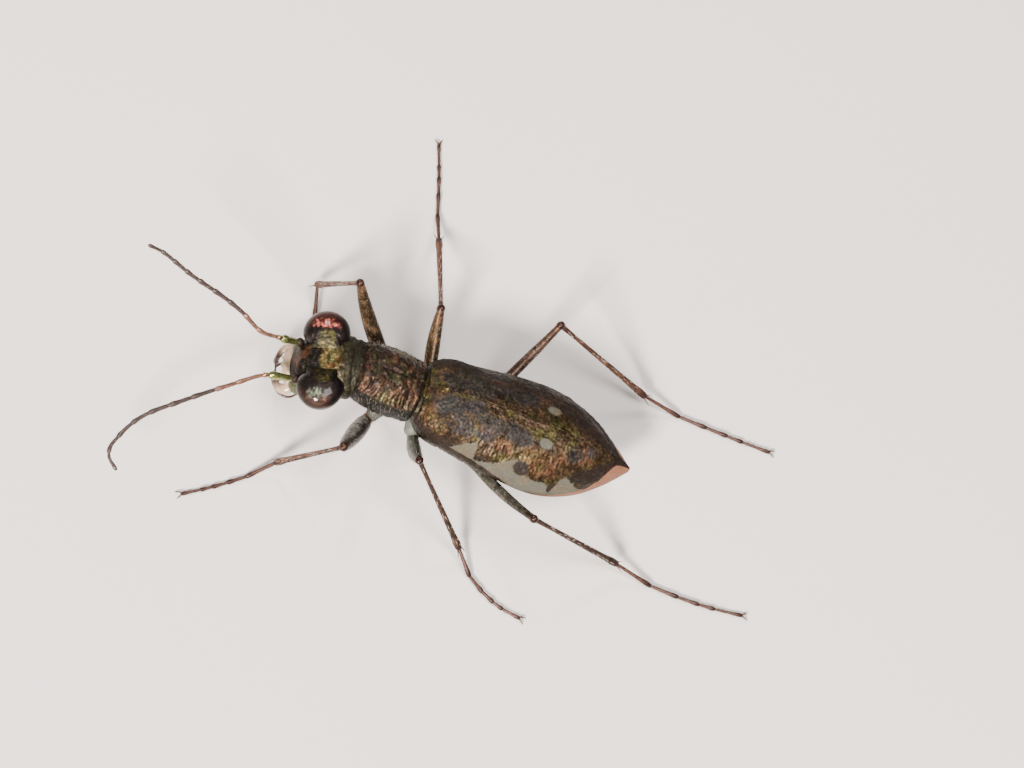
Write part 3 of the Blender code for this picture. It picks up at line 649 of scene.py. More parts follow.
def smooth_shell(name, mottle=6.0, relief=0.15, coat=0.3):
    """Horn, ivory and other bare shell: the painted tint with a soft mottle and a low gloss."""
    made, tree, shader = new_material(name)
    place = millimetre_coordinates(tree)
    tint = add_node(tree, "ShaderNodeAttribute", {"attribute_name": "tint"}).outputs["Color"]
    shine = add_node(tree, "ShaderNodeAttribute", {"attribute_name": "shine"}).outputs["Fac"]
    rough = add_node(tree, "ShaderNodeAttribute", {"attribute_name": "rough"}).outputs["Fac"]
    cloud = add_node(tree, "ShaderNodeTexNoise", (), {"Vector": place, "Scale": mottle, "Detail": 4.0})
    fine = add_node(tree, "ShaderNodeTexNoise", (), {"Vector": place, "Scale": 40.0, "Detail": 3.0})
    level = value_map(tree, cloud.outputs["Fac"], 0.3, 0.7, 0.75, 1.25)
    tree.links.new(colour_mix(tree, "MULTIPLY", 1.0, tint, level), shader.inputs["Base Color"])
    tree.links.new(shine, shader.inputs["Metallic"])
    uneven = value_map(tree, cloud.outputs["Fac"], 0.3, 0.7, -0.06, 0.06)
    tree.links.new(arithmetic(tree, "ADD", rough, uneven), shader.inputs["Roughness"])
    bump = add_node(
        tree, "ShaderNodeBump", (), {"Strength": relief, "Distance": 0.01 * MM, "Height": fine.outputs["Fac"]}
    )
    tree.links.new(bump.outputs[0], shader.inputs["Normal"])
    shader.inputs["Coat Weight"].default_value = coat
    shader.inputs["Coat Roughness"].default_value = 0.15
    return made


def eye_glass(name):
    """Compound eye: dark red-brown under a clear gloss, with fine facets."""
    made, tree, shader = new_material(name)
    place = millimetre_coordinates(tree)
    tint = add_node(tree, "ShaderNodeAttribute", {"attribute_name": "tint"}).outputs["Color"]
    facets = add_node(tree, "ShaderNodeTexVoronoi", {"feature": "F1"}, {"Vector": place, "Scale": 34.0, "Randomness": 0.25})
    cloud = add_node(tree, "ShaderNodeTexNoise", (), {"Vector": place, "Scale": 5.0, "Detail": 3.0})
    level = value_map(tree, cloud.outputs["Fac"], 0.35, 0.65, 0.7, 1.4)
    flecks = add_node(tree, "ShaderNodeTexVoronoi", (), {"Vector": place, "Scale": 9.0})
    lucky = add_node(tree, "ShaderNodeSeparateColor", (), {"Color": flecks.outputs["Color"]}).outputs[0]
    glow = value_map(tree, lucky, 0.6, 1.0, 0.0, 0.5)
    dim = colour_mix(tree, "MULTIPLY", 1.0, tint, level)
    tree.links.new(colour_mix(tree, "ADD", glow, dim, (0.014, 0.006, 0.003, 1.0)), shader.inputs["Base Color"])
    shader.inputs["Metallic"].default_value = 0.8
    shader.inputs["Roughness"].default_value = 0.28
    shader.inputs["Specular IOR Level"].default_value = 0.2
    height = value_map(tree, facets.outputs["Distance"], 0.0, 0.7, 1.0, 0.0)
    bump = add_node(tree, "ShaderNodeBump", (), {"Strength": 0.6, "Distance": 0.012 * MM, "Height": height})
    tree.links.new(bump.outputs[0], shader.inputs["Normal"])
    shader.inputs["Coat Weight"].default_value = 0.25
    shader.inputs["Coat Roughness"].default_value = 0.08
    return made


def bristle(name):
    """White bristle: pale and glossy."""
    made, tree, shader = new_material(name)
    place = millimetre_coordinates(tree)
    tint = add_node(tree, "ShaderNodeAttribute", {"attribute_name": "tint"}).outputs["Color"]
    cloud = add_node(tree, "ShaderNodeTexNoise", (), {"Vector": place, "Scale": 12.0})
    level = value_map(tree, cloud.outputs["Fac"], 0.3, 0.7, 0.85, 1.1)
    tree.links.new(colour_mix(tree, "MULTIPLY", 1.0, tint, level), shader.inputs["Base Color"])
    shader.inputs["Roughness"].default_value = 0.3
    shader.inputs["Subsurface Weight"].default_value = 0.0
    return made


# Bristles

def bristles(surface, roots, aims, lengths, radius, patches, tint=(0.75, 0.72, 0.66), droop=0.25, seed=1):
    """Tapered three-sided bristles, each bent a little towards its tip and closed at its root."""
    count = len(roots)
    draw = np.random.default_rng(seed)
    aims = aims / np.linalg.norm(aims, axis=1, keepdims=True)
    helper = np.where(np.abs(aims[:, 2:3]) > 0.9, np.array((1.0, 0.0, 0.0)), np.array((0.0, 0.0, 1.0)))
    side = np.cross(aims, helper)
    side /= np.linalg.norm(side, axis=1, keepdims=True)
    other = np.cross(aims, side)
    lean = draw.normal(size=(count, 3)) * droop
    lengths = np.asarray(lengths)[:, None]
    middle = roots + aims * lengths * 0.5 + lean * lengths * 0.12
    tip = roots + aims * lengths * 0.96 + lean * lengths * 0.42
    rings = []
    for centre, share in ((roots - aims * radius, 1.0), (middle, 0.75)):
        for k in range(3):
            angle = 2 * math.pi * k / 3
            rings.append(centre + radius * share * (math.cos(angle) * side + math.sin(angle) * other))
    points = np.stack(rings + [tip], axis=1).reshape(-1, 3)
    base = (np.arange(count) * 7)[:, None]
    quads = np.concatenate([base + np.array((k, (k + 1) % 3, 3 + (k + 1) % 3, 3 + k)) for k in range(3)])
    tips = np.concatenate([base + np.array((3 + k, 3 + (k + 1) % 3, 6)) for k in range(3)])
    roots_closed = base + np.array((2, 1, 0))
    spots = np.array([(math.cos(k), math.sin(k)) for k in range(7)]) * 0.0015
    uv = (patches[:, None] + spots[None]).reshape(-1, 2)
    surface.add(points, [quads, tips, roots_closed], tint=tint, shine=0.0, rough=0.35, patches=uv)


# Wing cases

def elytron_tints(y, angle, x, places, side):
    """Colour, shine and roughness of a wing case by place, with its pale band and dark spots, and painted shade on the
    shoulder and the right flank.
    """
    ragged = noise(places, 0.09, 3) * 2.2 + noise(places, 0.03, 4) * 1.6
    blurred = noise(places, 0.5, 5)
    tint = mix(BRONZE, OLIVE, step(noise(places, 0.35, 6) + blurred * 0.4, -0.3, 0.5))
    copper = np.zeros(y.shape)
    for centre, middle, reach, spread in COPPER_CLOUDS:
        distance = np.hypot((y - centre) / reach, (angle - middle) / spread)
        copper = np.maximum(copper, 1 - step(distance, 0.35, 1.25))
    copper = np.clip(copper * (0.8 + 0.5 * noise(places, 0.14, 7)), 0, 1)
    tint = mix(tint, COPPER, copper * np.clip(0.55 + 0.5 * noise(places, 0.12, 11), 0.1, 0.85))
    dark = np.zeros(y.shape)
    for centre, middle, reach, spread in DARK_CLOUDS:
        distance = np.hypot((y - centre) / reach, (angle - middle) / spread)
        dark = np.maximum(dark, 1 - step(distance + noise(places, 0.22, 8) * 0.45, 0.5, 1.25))
    tint = mix(tint, BLUE_BLACK, dark * 0.8)
    shine = 0.6 - 0.25 * dark
    rough = 0.42 + 0.08 * noise(places, 0.2, 9) + 0.08 * dark
    # Painted shade: the shoulder boss is darkened where the key light's highlight falls
    boss = np.exp(-((y - 0.75) / 0.6) ** 2 - ((angle - 32.0) / 18.0) ** 2)
    tint = tint * (1 - 0.45 * boss[..., None])
    rough = rough + 0.16 * boss
    # Dark flank: on the right wing case it is painted shade over the slope that faces away from the light
    limit = along(FLANK_DARK_AND_SHADE[side], y)
    flank = 1 - step(angle + ragged, limit - FLANK_DARK_AND_SHADE_BLEND, limit)
    tint = mix(tint, UMBER, flank * 0.92)
    shine = shine * (1 - 0.75 * flank)
    rough = rough + 0.1 * flank
    band = 1 - step(angle + ragged - along(BAND_EDGE, y) * BAND_SHARE[side], -1.2, 1.2)
    band = band * step(y, 1.12, 1.24) * (1 - step(y, 5.35, 5.75))
    band = band * step(angle + 0.3 * ragged - straight(DARK_RIM, y), -1.0, 1.0)
    notch = 1 - step(np.hypot((y - 4.43) / 0.085, (angle - 22.0) / 9.0), 0.75, 1.1)
    dot = 1 - step(np.hypot((y - DISC_DOT[0]) / DISC_DOT[2], (np.abs(x) - DISC_DOT[1]) / DISC_DOT[3]) + ragged * 0.03, 0.88, 1.08)
    pale = np.clip(np.maximum(band * (1 - notch), dot), 0, 1)
    tint = mix(tint, mix(IVORY, PALE_GREY, step(noise(places, 0.3, 10), -0.5, 0.5)), pale)
    shine = shine * (1 - pale)
    rough = rough + 0.08 * pale
    spot = 1 - step(np.hypot((y - SIDE_SPOT[0]) / SIDE_SPOT[2], (angle - SIDE_SPOT[1]) / SIDE_SPOT[3]) + ragged * 0.03, 0.85, 1.15)
    inside = step(angle + ragged - straight(APEX_PATCH_LOW, y), -1.5, 1.5)
    inside = inside * (1 - step(angle + ragged - straight(APEX_PATCH_HIGH, y), -1.5, 1.5)) * step(y, 4.76, 4.84)
    black = np.clip(np.maximum(np.maximum(spot, inside), notch), 0, 1)
    tint = mix(tint, mix((0.013, 0.009, 0.007), UMBER, step(y, 4.5, 5.5)), black)
    shine = shine * (1 - black) + 0.1 * black
    rough = rough + 0.12 * black
    clear = 1 - step(angle + ragged * 0.5 - straight(CLEAR_MARGIN, y), -1.5, 1.5)
    clear = clear * step(y, 3.95, 4.3)
    tint = mix(tint, CLEAR_TAN, clear)
    shine = shine * (1 - clear)
    rough = rough * (1 - clear) + 0.5 * clear
    smooth = np.clip(pale + clear, 0, 1)
    return tint, shine, rough, smooth


def elytron(side, material):
    """One wing case: a thin domed shell with a rolled margin, pitted and grained on top."""
    rows, columns, inner_columns = 300, 92, 12
    y = np.linspace(ELYTRA_START, ELYTRA_START + ELYTRA_LENGTH, rows)[:, None]
    angle = np.concatenate([np.linspace(-6.0, 88.0, columns - 8), np.linspace(88.3, 90.0, 8)])[None]
    radians = np.radians(np.maximum(angle, 0.0))
    half, low, top = half_width(y), edge(y), crown(y)
    seam = np.minimum(0.004, half / 3)
    x = seam + (half - seam) * power(np.cos(radians), 2 / SECTION_POWER)
    z = low + (top - low) * power(np.sin(radians), 2 / SECTION_POWER)
    z = z + np.minimum(angle, 0.0) * 0.012
    x = x - (np.minimum(angle, 0.0) * 0.02) ** 2
    y = np.broadcast_to(y, x.shape)
    # the suture is a low bead beside a shallow furrow, and the shoulder is a soft boss
    bead = 0.004 * np.exp(-((x - 0.04) / 0.03) ** 2) - 0.006 * np.exp(-((x - 0.13) / 0.07) ** 2)
    shoulder = 0.04 * np.exp(-((y - 0.75) / 0.4) ** 2 - ((angle - 38.0) / 15.0) ** 2)
    hollow = -0.05 * np.exp(-((y - 0.6) / 0.3) ** 2 - ((angle - 62.0) / 12.0) ** 2)
    grid = np.stack([x, y, z], axis=-1)
    normals = grid_normals(grid)
    normals = normals * np.sign(normals[rows // 2, columns // 2, 2])
    across = np.concatenate([np.zeros((rows, 1)), np.cumsum(np.linalg.norm(np.diff(grid, axis=1), axis=-1), axis=1)], axis=1)
    seed = 20 if side == "left" else 40
    tint, shine, rough, smooth = elytron_tints(y, angle, x, grid + (0 if side == "left" else 50), side)
    coarse = pits(across, y, 0.105, seed) * (1 - 0.65 * smooth)
    fade = step(90.0 - angle, 0.0, 0.6) * step(angle, -2.0, 3.0)
    lumps = noise(grid, 0.075, seed + 3) * 0.010 + noise(grid, 0.16, seed + 5) * 0.014 + noise(grid, 0.4, seed + 4) * 0.014
    grained = 0.25 + 0.75 * (1 - smooth)
    lift = (bead + shoulder + hollow) * step(y, 0.1, 0.5) + fade * (grained * lumps - 0.009 * coarse)
    grid = grid + normals * lift[..., None]
    blotch = 1 + 0.4 * noise(grid, 0.14, seed + 6) * (1 - smooth)
    # Painted shade: the pits are painted darker by their depth
    tint = tint * (1 - 0.3 * coarse[..., None]) * blotch[..., None]
    under = grid[:, ::-1][:, np.linspace(0, columns - 1, inner_columns).astype(int)] - np.array((0.0, 0.0, 0.045))
    under[..., 0] = np.maximum(under[..., 0] - 0.02, 0.002)
    ring = np.concatenate([grid, under], axis=1)
    blank = np.ones((rows, inner_columns))
    tint = np.concatenate([tint, blank[..., None] * np.array(UMBER)], axis=1)
    shine = np.concatenate([shine, blank * 0.2], axis=1)
    rough = np.concatenate([rough, blank * 0.5], axis=1)
    points, faces = closed_rings(body_to_floor(mirrored(ring, side)))
    surface = Surface()
    surface.add(points, faces, tint=ring_values(tint), shine=ring_values(shine), rough=ring_values(rough))
    return surface.build("elytron_case_" + side, material, ["elytron_" + side])


def scutellum(material):
    """The small triangle between the bases of the wing cases."""
    rows, columns = 40, 28
    share = np.linspace(0.0, 1.0, rows)[:, None]
    across = np.linspace(-1.0, 1.0, columns)[None]
    y = -0.06 + 0.66 * share
    half = 0.33 * (1 - share) ** 0.8 + 0.01
    x = half * across
    height = crown(np.maximum(y, ELYTRA_START)) + 0.015 - 0.20 * (1 - share) ** 3 - 0.10 * across ** 2 * (1 - share)
    grid = np.stack([x, np.broadcast_to(y, x.shape), height], axis=-1)
    grid[..., 2] += noise(grid, 0.07, 60) * 0.008
    under = grid[:, ::-1] - np.array((0.0, 0.0, 0.12))
    points, faces = closed_rings(body_to_floor(np.concatenate([grid, under], axis=1)))
    places = points
    tint = mix(BRONZE, GREEN_GOLD, step(noise(places, 0.1, 61), -0.2, 0.6))
    surface = Surface()
    surface.add(points, faces, tint=tint, shine=0.75, rough=0.35)
    return surface.build("scutellum", material, None)


# Trunk

def section(half, top, bottom, columns, upper=1.9, lower=1.9, widest=0.55):
    """Rings of a body part from its half width, top and bottom; a higher power is boxier."""
    angles = np.linspace(0, 2 * np.pi, columns, endpoint=False)[None]
    middle = bottom + (top - bottom) * widest
    shape = 2 / np.where(np.sin(angles) > 0, upper, lower)
    x = half * power(np.cos(angles), shape)
    rise = np.where(np.sin(angles) > 0, top - middle, middle - bottom)
    z = middle + rise * power(np.sin(angles), shape)
    return x, z


def prothorax(material):
    """The collar: grooved across near both ends, with wavy wrinkles and a fine middle line."""
    rows, columns = 190, 200
    y = np.linspace(-1.98, -0.04, rows)[:, None]
    x, z = section(
        along(PROTHORAX_HALF, y), along(PROTHORAX_TOP, y), along(PROTHORAX_BOTTOM, y), columns,
        *PROTHORAX_POWERS,
    )
    grid = np.stack([x, np.broadcast_to(y, x.shape), z], axis=-1)
    normals = grid_normals(grid, wrap=True)
    if normals[rows // 2, columns // 4, 2] < 0:
        normals = -normals
    upper = step(grid[..., 2] + noise(grid, 0.12, 76) * 0.04, 0.14, 0.28)
    groove = -0.06 * np.exp(-((y + 1.6) / 0.06) ** 2) - 0.055 * np.exp(-((y + 0.42) / 0.055) ** 2)
    rim = 0.03 * np.exp(-((y + 1.86) / 0.05) ** 2) + 0.035 * np.exp(-((y + 0.16) / 0.06) ** 2)
    disc = step(y, -1.55, -1.35) * (1 - step(y, -0.6, -0.45))
    midline = -0.025 * np.exp(-(grid[..., 0] / 0.03) ** 2) * disc * upper
    bulge = 0.04 * np.exp(-((np.abs(grid[..., 0]) - 0.42) / 0.25) ** 2) * disc * upper
    warp = noise(grid, 0.3, 70) * 1.3 + noise(grid, 0.13, 71) * 0.6
    ripple = np.sin(grid[..., 1] * 2 * np.pi / 0.115 + warp * 3.2)
    lateral = step(np.abs(grid[..., 0]), 0.45, 0.75)
    strip = np.exp(-((grid[..., 2] - 0.36) / 0.12) ** 2)
    wrinkles = ripple * 0.012 * (0.12 + 0.88 * lateral * strip) * (0.55 + 0.45 * noise(grid, 0.2, 72)) * upper
    lumps = noise(grid, 0.12, 73) * 0.024 * (1 - 0.5 * lateral) + noise(grid, 0.055, 75) * 0.012
    broken = 0.6 + 0.4 * noise(grid, 0.25, 77)
    lift = (groove + rim) * (0.25 + 0.55 * upper) * broken + midline + bulge + wrinkles + lumps
    ledge = 0.02 * np.exp(-((grid[..., 2] - 0.24) / 0.035) ** 2)
    grid = grid + normals * (lift + ledge)[..., None]
    copper = step(noise(grid, 0.16, 74) + 0.3 * ripple * strip + 0.25 * noise(grid, 0.07, 76), -0.1, 0.6)
    tint = mix((0.022, 0.013, 0.010), (0.085, 0.042, 0.024), copper * step(noise(grid, 0.3, 78), -0.5, 0.3))
    olive = step(noise(grid, 0.22, 79), 0.05, 0.5)
    tint = mix(tint, (0.035, 0.036, 0.018), olive * 0.6)
    side_gold = np.exp(-((grid[..., 2] - 0.35) / 0.10) ** 2) * step(np.abs(grid[..., 0]), 0.5, 0.75)
    side_gold = side_gold * step(noise(grid, 0.3, 80), -0.6, 0.1)
    # Painted highlight: the gold on the sides is kept to the wrinkles' crests
    tint = mix(tint, mix(COPPER, GREEN_GOLD, step(y, -1.6, -0.8)), np.clip(side_gold * step(ripple, -0.1, 0.8), 0, 1) * 0.6)
    # Painted shade: grooves and wrinkle troughs are darkened
    trough_shade = step(-lift, 0.0, 0.05)
    tint = mix(tint, (0.008, 0.006, 0.006), np.clip(trough_shade, 0, 1) * 0.75)
    tint = mix(tint, (0.009, 0.009, 0.008), 1 - upper)
    points, faces = closed_rings(body_to_floor(grid))
    surface = Surface()
    surface.add(
        points, faces, tint=ring_values(tint), shine=ring_values(0.35 + 0.2 * upper),
        rough=ring_values(0.5 - 0.08 * upper),
    )
    for side in ("left", "right"):
        hip_joint(surface, "front", side)
    return surface.build("pronotum", material, ["prothorax"])


def hip_joint(surface, pair, side):
    """The rounded first joint of a leg, pale with down, set in the body's underside."""
    low, high = HIP_JOINTS[pair]
    path = mirrored((low, (np.array(low) + high) / 2, high), side)
    radius = HIP_RADII[pair]
    stations = ((0.0, radius * 0.8), (0.5, radius), (1.0, radius * 0.75))
    limb(surface, body_to_floor(path), stations, 20, 24, tint=DOWNY[pair], shine=0.1, rough=0.5)


def trunk_grid(start, end, rows, columns, y):
    bulge = 1 - step(y, 2.6, 3.8)
    half = np.maximum(half_width(y) - 0.07 + 0.07 * bulge, 0.04)
    top = edge(y) + 0.02
    angles = np.linspace(180, 360, columns)[None]
    radians = np.radians(angles)
    x = half * power(np.cos(radians), 2 / (SECTION_POWER + 1.2 * bulge))
    z = top + (top - belly(y)) * power(np.sin(radians), 2 / SECTION_POWER)
    return np.stack([x, np.broadcast_to(y, x.shape), z], axis=-1), angles


def closed_trunk(grid, inset):
    """Closes an open lower trunk with a roof that lies under the wing cases."""
    y = grid[:, :1, 1]
    half = np.abs(grid[:, :1, 0]) - 0.02
    rise = np.maximum(crown(np.clip(y, ELYTRA_START, None)) - inset, edge(np.clip(y, ELYTRA_START, None)) + 0.03) - grid[:, :1, 2]
    angles = np.radians(np.linspace(0, 180, 18)[1:-1])[None]
    x = half * np.cos(angles)
    z = grid[:, :1, 2] + rise * np.sin(angles)
    roof = np.stack([x, np.broadcast_to(y, x.shape), z], axis=-1)
    return np.concatenate([grid, roof], axis=1)


def mid_trunk(material):
    """Middle and hind thorax: plates at the sides, a keel between the hips, and the hip joints."""
    rows, columns = 150, 150
    y = np.linspace(-0.12, 2.96, rows)[:, None]
    grid, angle = trunk_grid(-0.12, 2.96, rows, columns, y)
    narrow = 0.78 + 0.22 * step(y, -0.1, 0.25)
    grid[..., 0] *= narrow
    normals = grid_normals(grid)
    normals = normals * -np.sign(normals[rows // 2, columns // 2, 2])
    flank = step(np.abs(grid[..., 0]) / np.maximum(half_width(y), 0.1), 0.55, 0.8)
    seam_a = np.exp(-((y - 0.85 + grid[..., 2] * 0.5) / 0.03) ** 2) * flank
    seam_b = np.exp(-((y - 1.75 + grid[..., 2] * 0.4) / 0.03) ** 2) * flank
    keel = 0.05 * np.exp(-(grid[..., 0] / 0.12) ** 2)
    lift = keel - 0.035 * (seam_a + seam_b) + noise(grid, 0.07, 80) * 0.01
    grid = grid + normals * lift[..., None]
    ring = closed_trunk(grid, 0.16)
    tint = mix((0.009, 0.010, 0.008), (0.024, 0.02, 0.013), step(noise(ring, 0.3, 81), -0.4, 0.6))
    points, faces = closed_rings(body_to_floor(ring))
    surface = Surface()
    surface.add(points, faces, tint=ring_values(tint), shine=0.6, rough=0.45)
    for pair in ("middle", "hind"):
        for side in ("left", "right"):
            hip_joint(surface, pair, side)
    return surface.build("thorax_plates", material, ["thorax"])


def round_tail(grid, y):
    """Draws the last stretch of the belly in to a rounded end, under the tips of the wing cases."""
    into = np.clip((y - ABDOMEN_END + TAIL_LENGTH) / TAIL_LENGTH, 0.0, 0.99)
    shrink = np.sqrt(1 - into ** 2)
    top = edge(y) + 0.02
    grid[..., 0] *= shrink
    grid[..., 2] = top + (grid[..., 2] - top) * shrink


def abdomen(material):
    """The belly's overlapping rings."""
    rows, columns = 220, 130
    y = np.linspace(2.9, ABDOMEN_END, rows)[:, None]
    grid, angle = trunk_grid(2.9, ABDOMEN_END, rows, columns, y)
    round_tail(grid, y)
    normals = grid_normals(grid)
    normals = normals * -np.sign(normals[rows // 2, columns // 2, 2])
    pitch = 0.62
    cycle = ((y - 2.9) / pitch) % 1.0
    overlap = 0.035 * cycle - 0.035 * step(cycle, 0.93, 1.0)
    lift = np.broadcast_to(overlap, grid.shape[:2]) + noise(grid, 0.06, 90) * 0.006 - 0.02
    grid = grid + normals * lift[..., None]
    ring = closed_trunk(grid, 0.16)
    cycle_all = ((ring[..., 1] - 2.9) / pitch) % 1.0
    tint = mix((0.014, 0.020, 0.015), (0.04, 0.02, 0.014), step(cycle_all, 0.75, 1.0))
    points, faces = closed_rings(body_to_floor(ring))
    surface = Surface()
    surface.add(points, faces, tint=ring_values(tint), shine=0.6, rough=0.3)
    return surface.build("abdomen_rings", material, ["abdomen"])


# Head

def head_height(x, y):
    """Height of the crown of the head over a place, before its plates and furrows."""
    half, top, bottom = along(HEAD_HALF, y), along(HEAD_TOP, y), along(HEAD_BOTTOM, y)
    middle = bottom + (top - bottom) * HEAD_POWERS[2]
    inside = np.clip(1 - np.abs(x / half) ** HEAD_POWERS[0], 0, 1)
    return middle + (top - middle) * inside ** (1 / HEAD_POWERS[0])


def head_tints(grid, upper):
    """Gold and copper between the eyes, green-gold beside them, dark in front and olive behind."""
    x, y = grid[..., 0], grid[..., 1]
    cloud = noise(grid, 0.16, 101) * 0.5 + noise(grid, 0.06, 102) * 0.45
    near = 1 - np.hypot(x / 0.95, (y + 1.02) / 0.55) + cloud * 0.6
    tint = mix((0.028, 0.025, 0.012), (0.108, 0.09, 0.032), step(near, -0.1, 0.75))
    gold = 1 - step(np.hypot((x - 0.02) / 0.5, (y + 0.76) / 0.40) + cloud * 0.9, 0.35, 1.2)
    tint = mix(tint, (0.135, 0.052, 0.021), gold * step(noise(grid, 0.22, 108), -0.35, 0.35) * 0.8)
    speck = step(noise(grid, 0.085, 107), 0.2, 0.6)
    tint = mix(tint, tint * 0.3, speck * 0.8)
    front = step(-y + cloud * 0.10, 1.10, 1.22)
    tint = mix(tint, (0.006, 0.005, 0.005), front)
    spot = 1 - step(np.hypot((x + 0.16) / 0.26, (y + 1.62) / 0.2) + cloud * 0.9, 0.3, 1.1)
    spot = np.maximum(spot, 0.55 * (1 - step(np.hypot((x + 0.1) / 0.5, (y + 1.86) / 0.12) + cloud * 0.9, 0.3, 1.1)))
    tint = mix(tint, mix((0.10, 0.032, 0.015), (0.05, 0.03, 0.012), step(cloud, -0.2, 0.2)), spot * 0.85)
    rear = step(y + cloud * 0.25, -0.7, -0.35)
    tint = mix(tint, (0.020, 0.017, 0.010), rear * 0.85)
    # Painted shade: darker towards the neck, where the head meets the collar
    tint = mix(tint, (0.009, 0.008, 0.005), 0.7 * step(y, -0.35, -0.1))
    shine = 0.6 - 0.2 * rear
    rough = 0.36 + 0.2 * front * (1 - spot) + 0.12 * rear
    return mix((0.010, 0.009, 0.008), tint, upper), shine, rough


def head_case(material):
    """The head's shell, with the raised plates that overhang the eyes and the dished brow between them."""
    rows, columns = 230, 240
    y = np.linspace(-2.1, 0.25, rows)[:, None]
    x, z = section(along(HEAD_HALF, y), along(HEAD_TOP, y), along(HEAD_BOTTOM, y), columns, *HEAD_POWERS)
    grid = np.stack([x, np.broadcast_to(y, x.shape), z], axis=-1)
    normals = grid_normals(grid, wrap=True)
    if normals[rows // 2, columns // 4, 2] < 0:
        normals = -normals
    upper = step(grid[..., 2] - (along(HEAD_BOTTOM, y) * 0.45 + along(HEAD_TOP, y) * 0.55), -0.1, 0.15)
    between = step(y, -1.75, -1.4) * (1 - step(y, -0.75, -0.45))
    dish = -0.075 * np.exp(-(grid[..., 0] / 0.36) ** 2) * between * upper
    brow = 0.05 * np.exp(-((y + 1.42) / 0.12) ** 2 - (grid[..., 0] / 0.3) ** 2) * upper
    dents = -0.07 * np.exp(-((np.abs(grid[..., 0]) - 0.3) / 0.12) ** 2 - ((y + 1.62) / 0.14) ** 2) * upper
    neck = -0.05 * np.exp(-((y + 0.2) / 0.07) ** 2)
    striae = np.sin(grid[..., 0] * 2 * np.pi / 0.075 + noise(grid, 0.2, 103) * 2.0)
    striae = striae * 0.003 * between * upper
    granules = noise(grid, 0.12, 106) * 0.020 + noise(grid, 0.05, 105) * 0.010
    granules = granules * (1 - 0.8 * step(-y, 1.6, 1.95)) * (1 - 0.5 * step(y, -0.6, -0.3))
    lift = dish + brow + dents + neck + striae + granules
    grid = grid + normals * lift[..., None]
    tint, shine, rough = head_tints(grid, upper)
    points, faces = closed_rings(head_to_floor(grid))
    surface = Surface()
    surface.add(points, faces, tint=ring_values(tint), shine=ring_values(shine), rough=ring_values(rough))
    for side in ("left", "right"):
        orbital_plate(surface, side)
    for side in ("left", "right"):
        socket = mirrored(ANTENNA_BASE + (0.0, 0.1, 0.0), side)
        ball(surface, socket, (0.13, 0.12, 0.13), head_to_floor, tint=(0.02, 0.013, 0.010), shine=0.2, rough=0.45)
        cheek = mirrored((0.56, -1.78, -0.62), side)
        ball(surface, cheek, (0.26, 0.3, 0.42), head_to_floor, tint=(0.06, 0.065, 0.03), shine=0.5, rough=0.35)
    return surface.build("head_shell", material, ["head"])


def orbital_plate(surface, side):
    """The ledge over one eye: it rises from the brow to a rim, and is finely ridged lengthwise."""
    rows, columns = 90, 60
    y = np.linspace(PLATE_RIM[0][0], PLATE_RIM[-1][0], rows)[:, None]
    share = np.linspace(0.0, 1.0, columns)[None]
    rim = along(PLATE_RIM, y)
    x = PLATE_INNER + (rim - PLATE_INNER) * share
    inner = head_height(np.full_like(y, PLATE_INNER), y)
    z = inner + (along(PLATE_HEIGHT, y) - inner) * share ** 0.9 - 0.07 * (1 - share) ** 3
    z = z - 0.05 * step(share, 0.93, 1.0)
    ridges = np.sin(share * 2 * np.pi * 6.5) * 0.0012 * step(share, 0.1, 0.3) * (1 - step(share, 0.85, 1.0))
    grid = np.stack([x, np.broadcast_to(y, x.shape), z + ridges], axis=-1)
    grid[..., 2] += noise(grid, 0.07, 110) * 0.008
    under = grid[:, ::-1].copy()
    under[..., 2] -= 0.07
    ring = np.concatenate([grid, under], axis=1)
    cloud = noise(ring, 0.06, 111) * 0.5 + noise(ring, 0.15, 112) * 0.5
    tint = mix((0.015, 0.013, 0.007), (0.055, 0.046, 0.015), step(cloud, -0.3, 0.6))
    ring_share = np.broadcast_to(share, x.shape)
    ring_share = np.concatenate([ring_share, ring_share[:, ::-1]], axis=1)
    ends = step(np.abs(ring[..., 1] + 1.04) + cloud * 0.12, 0.18, 0.30) * step(ring_share, 0.15, 0.4)
    tint = mix(tint, (0.008, 0.006, 0.006), ends)
    # Painted shadow: the plate's outer rim is painted black, as the shadow under its edge
    tint = mix(tint, (0.008, 0.007, 0.007), step(ring_share, 0.9, 0.97))
    points, faces = closed_rings(head_to_floor(mirrored(ring, side)))
    surface.add(points, faces, tint=ring_values(tint), shine=0.65, rough=0.44)


def eye_tints(unit, grid, side):
    """Black in front, behind and inside, dark maroon outside, with a painted highlight by the plate's rim."""
    highlight_tint, highlight_place, highlight_reach = EYE_PAINTED_HIGHLIGHT[side]
    outward = step(unit[..., 0] + 0.2 * noise(grid, 0.2, 121), 0.1, 0.6)
    tint = mix((0.012, 0.009, 0.009), EYE_RIM[side], outward)
    tint = mix(tint, (0.010, 0.007, 0.007), step(np.abs(unit[..., 1] + 0.1) + 0.15 * noise(grid, 0.25, 120), 0.5, 0.8))
    # The painted highlight, a reflection painted into the eye's colour
    away = np.sqrt(np.sum(((unit - np.array(highlight_place)) / np.array(highlight_reach)) ** 2, axis=-1))
    away = away + 0.45 * noise(grid, 0.10, 122) + 0.35 * noise(grid, 0.04, 123)
    flicker = 0.75 + 0.9 * noise(grid, 0.05, 124)
    glow = np.array(highlight_tint) * np.clip(flicker, 0.15, 1.8)[..., None]
    return mix(tint, glow, 0.95 * (1 - step(away, 0.5, 1.15)))


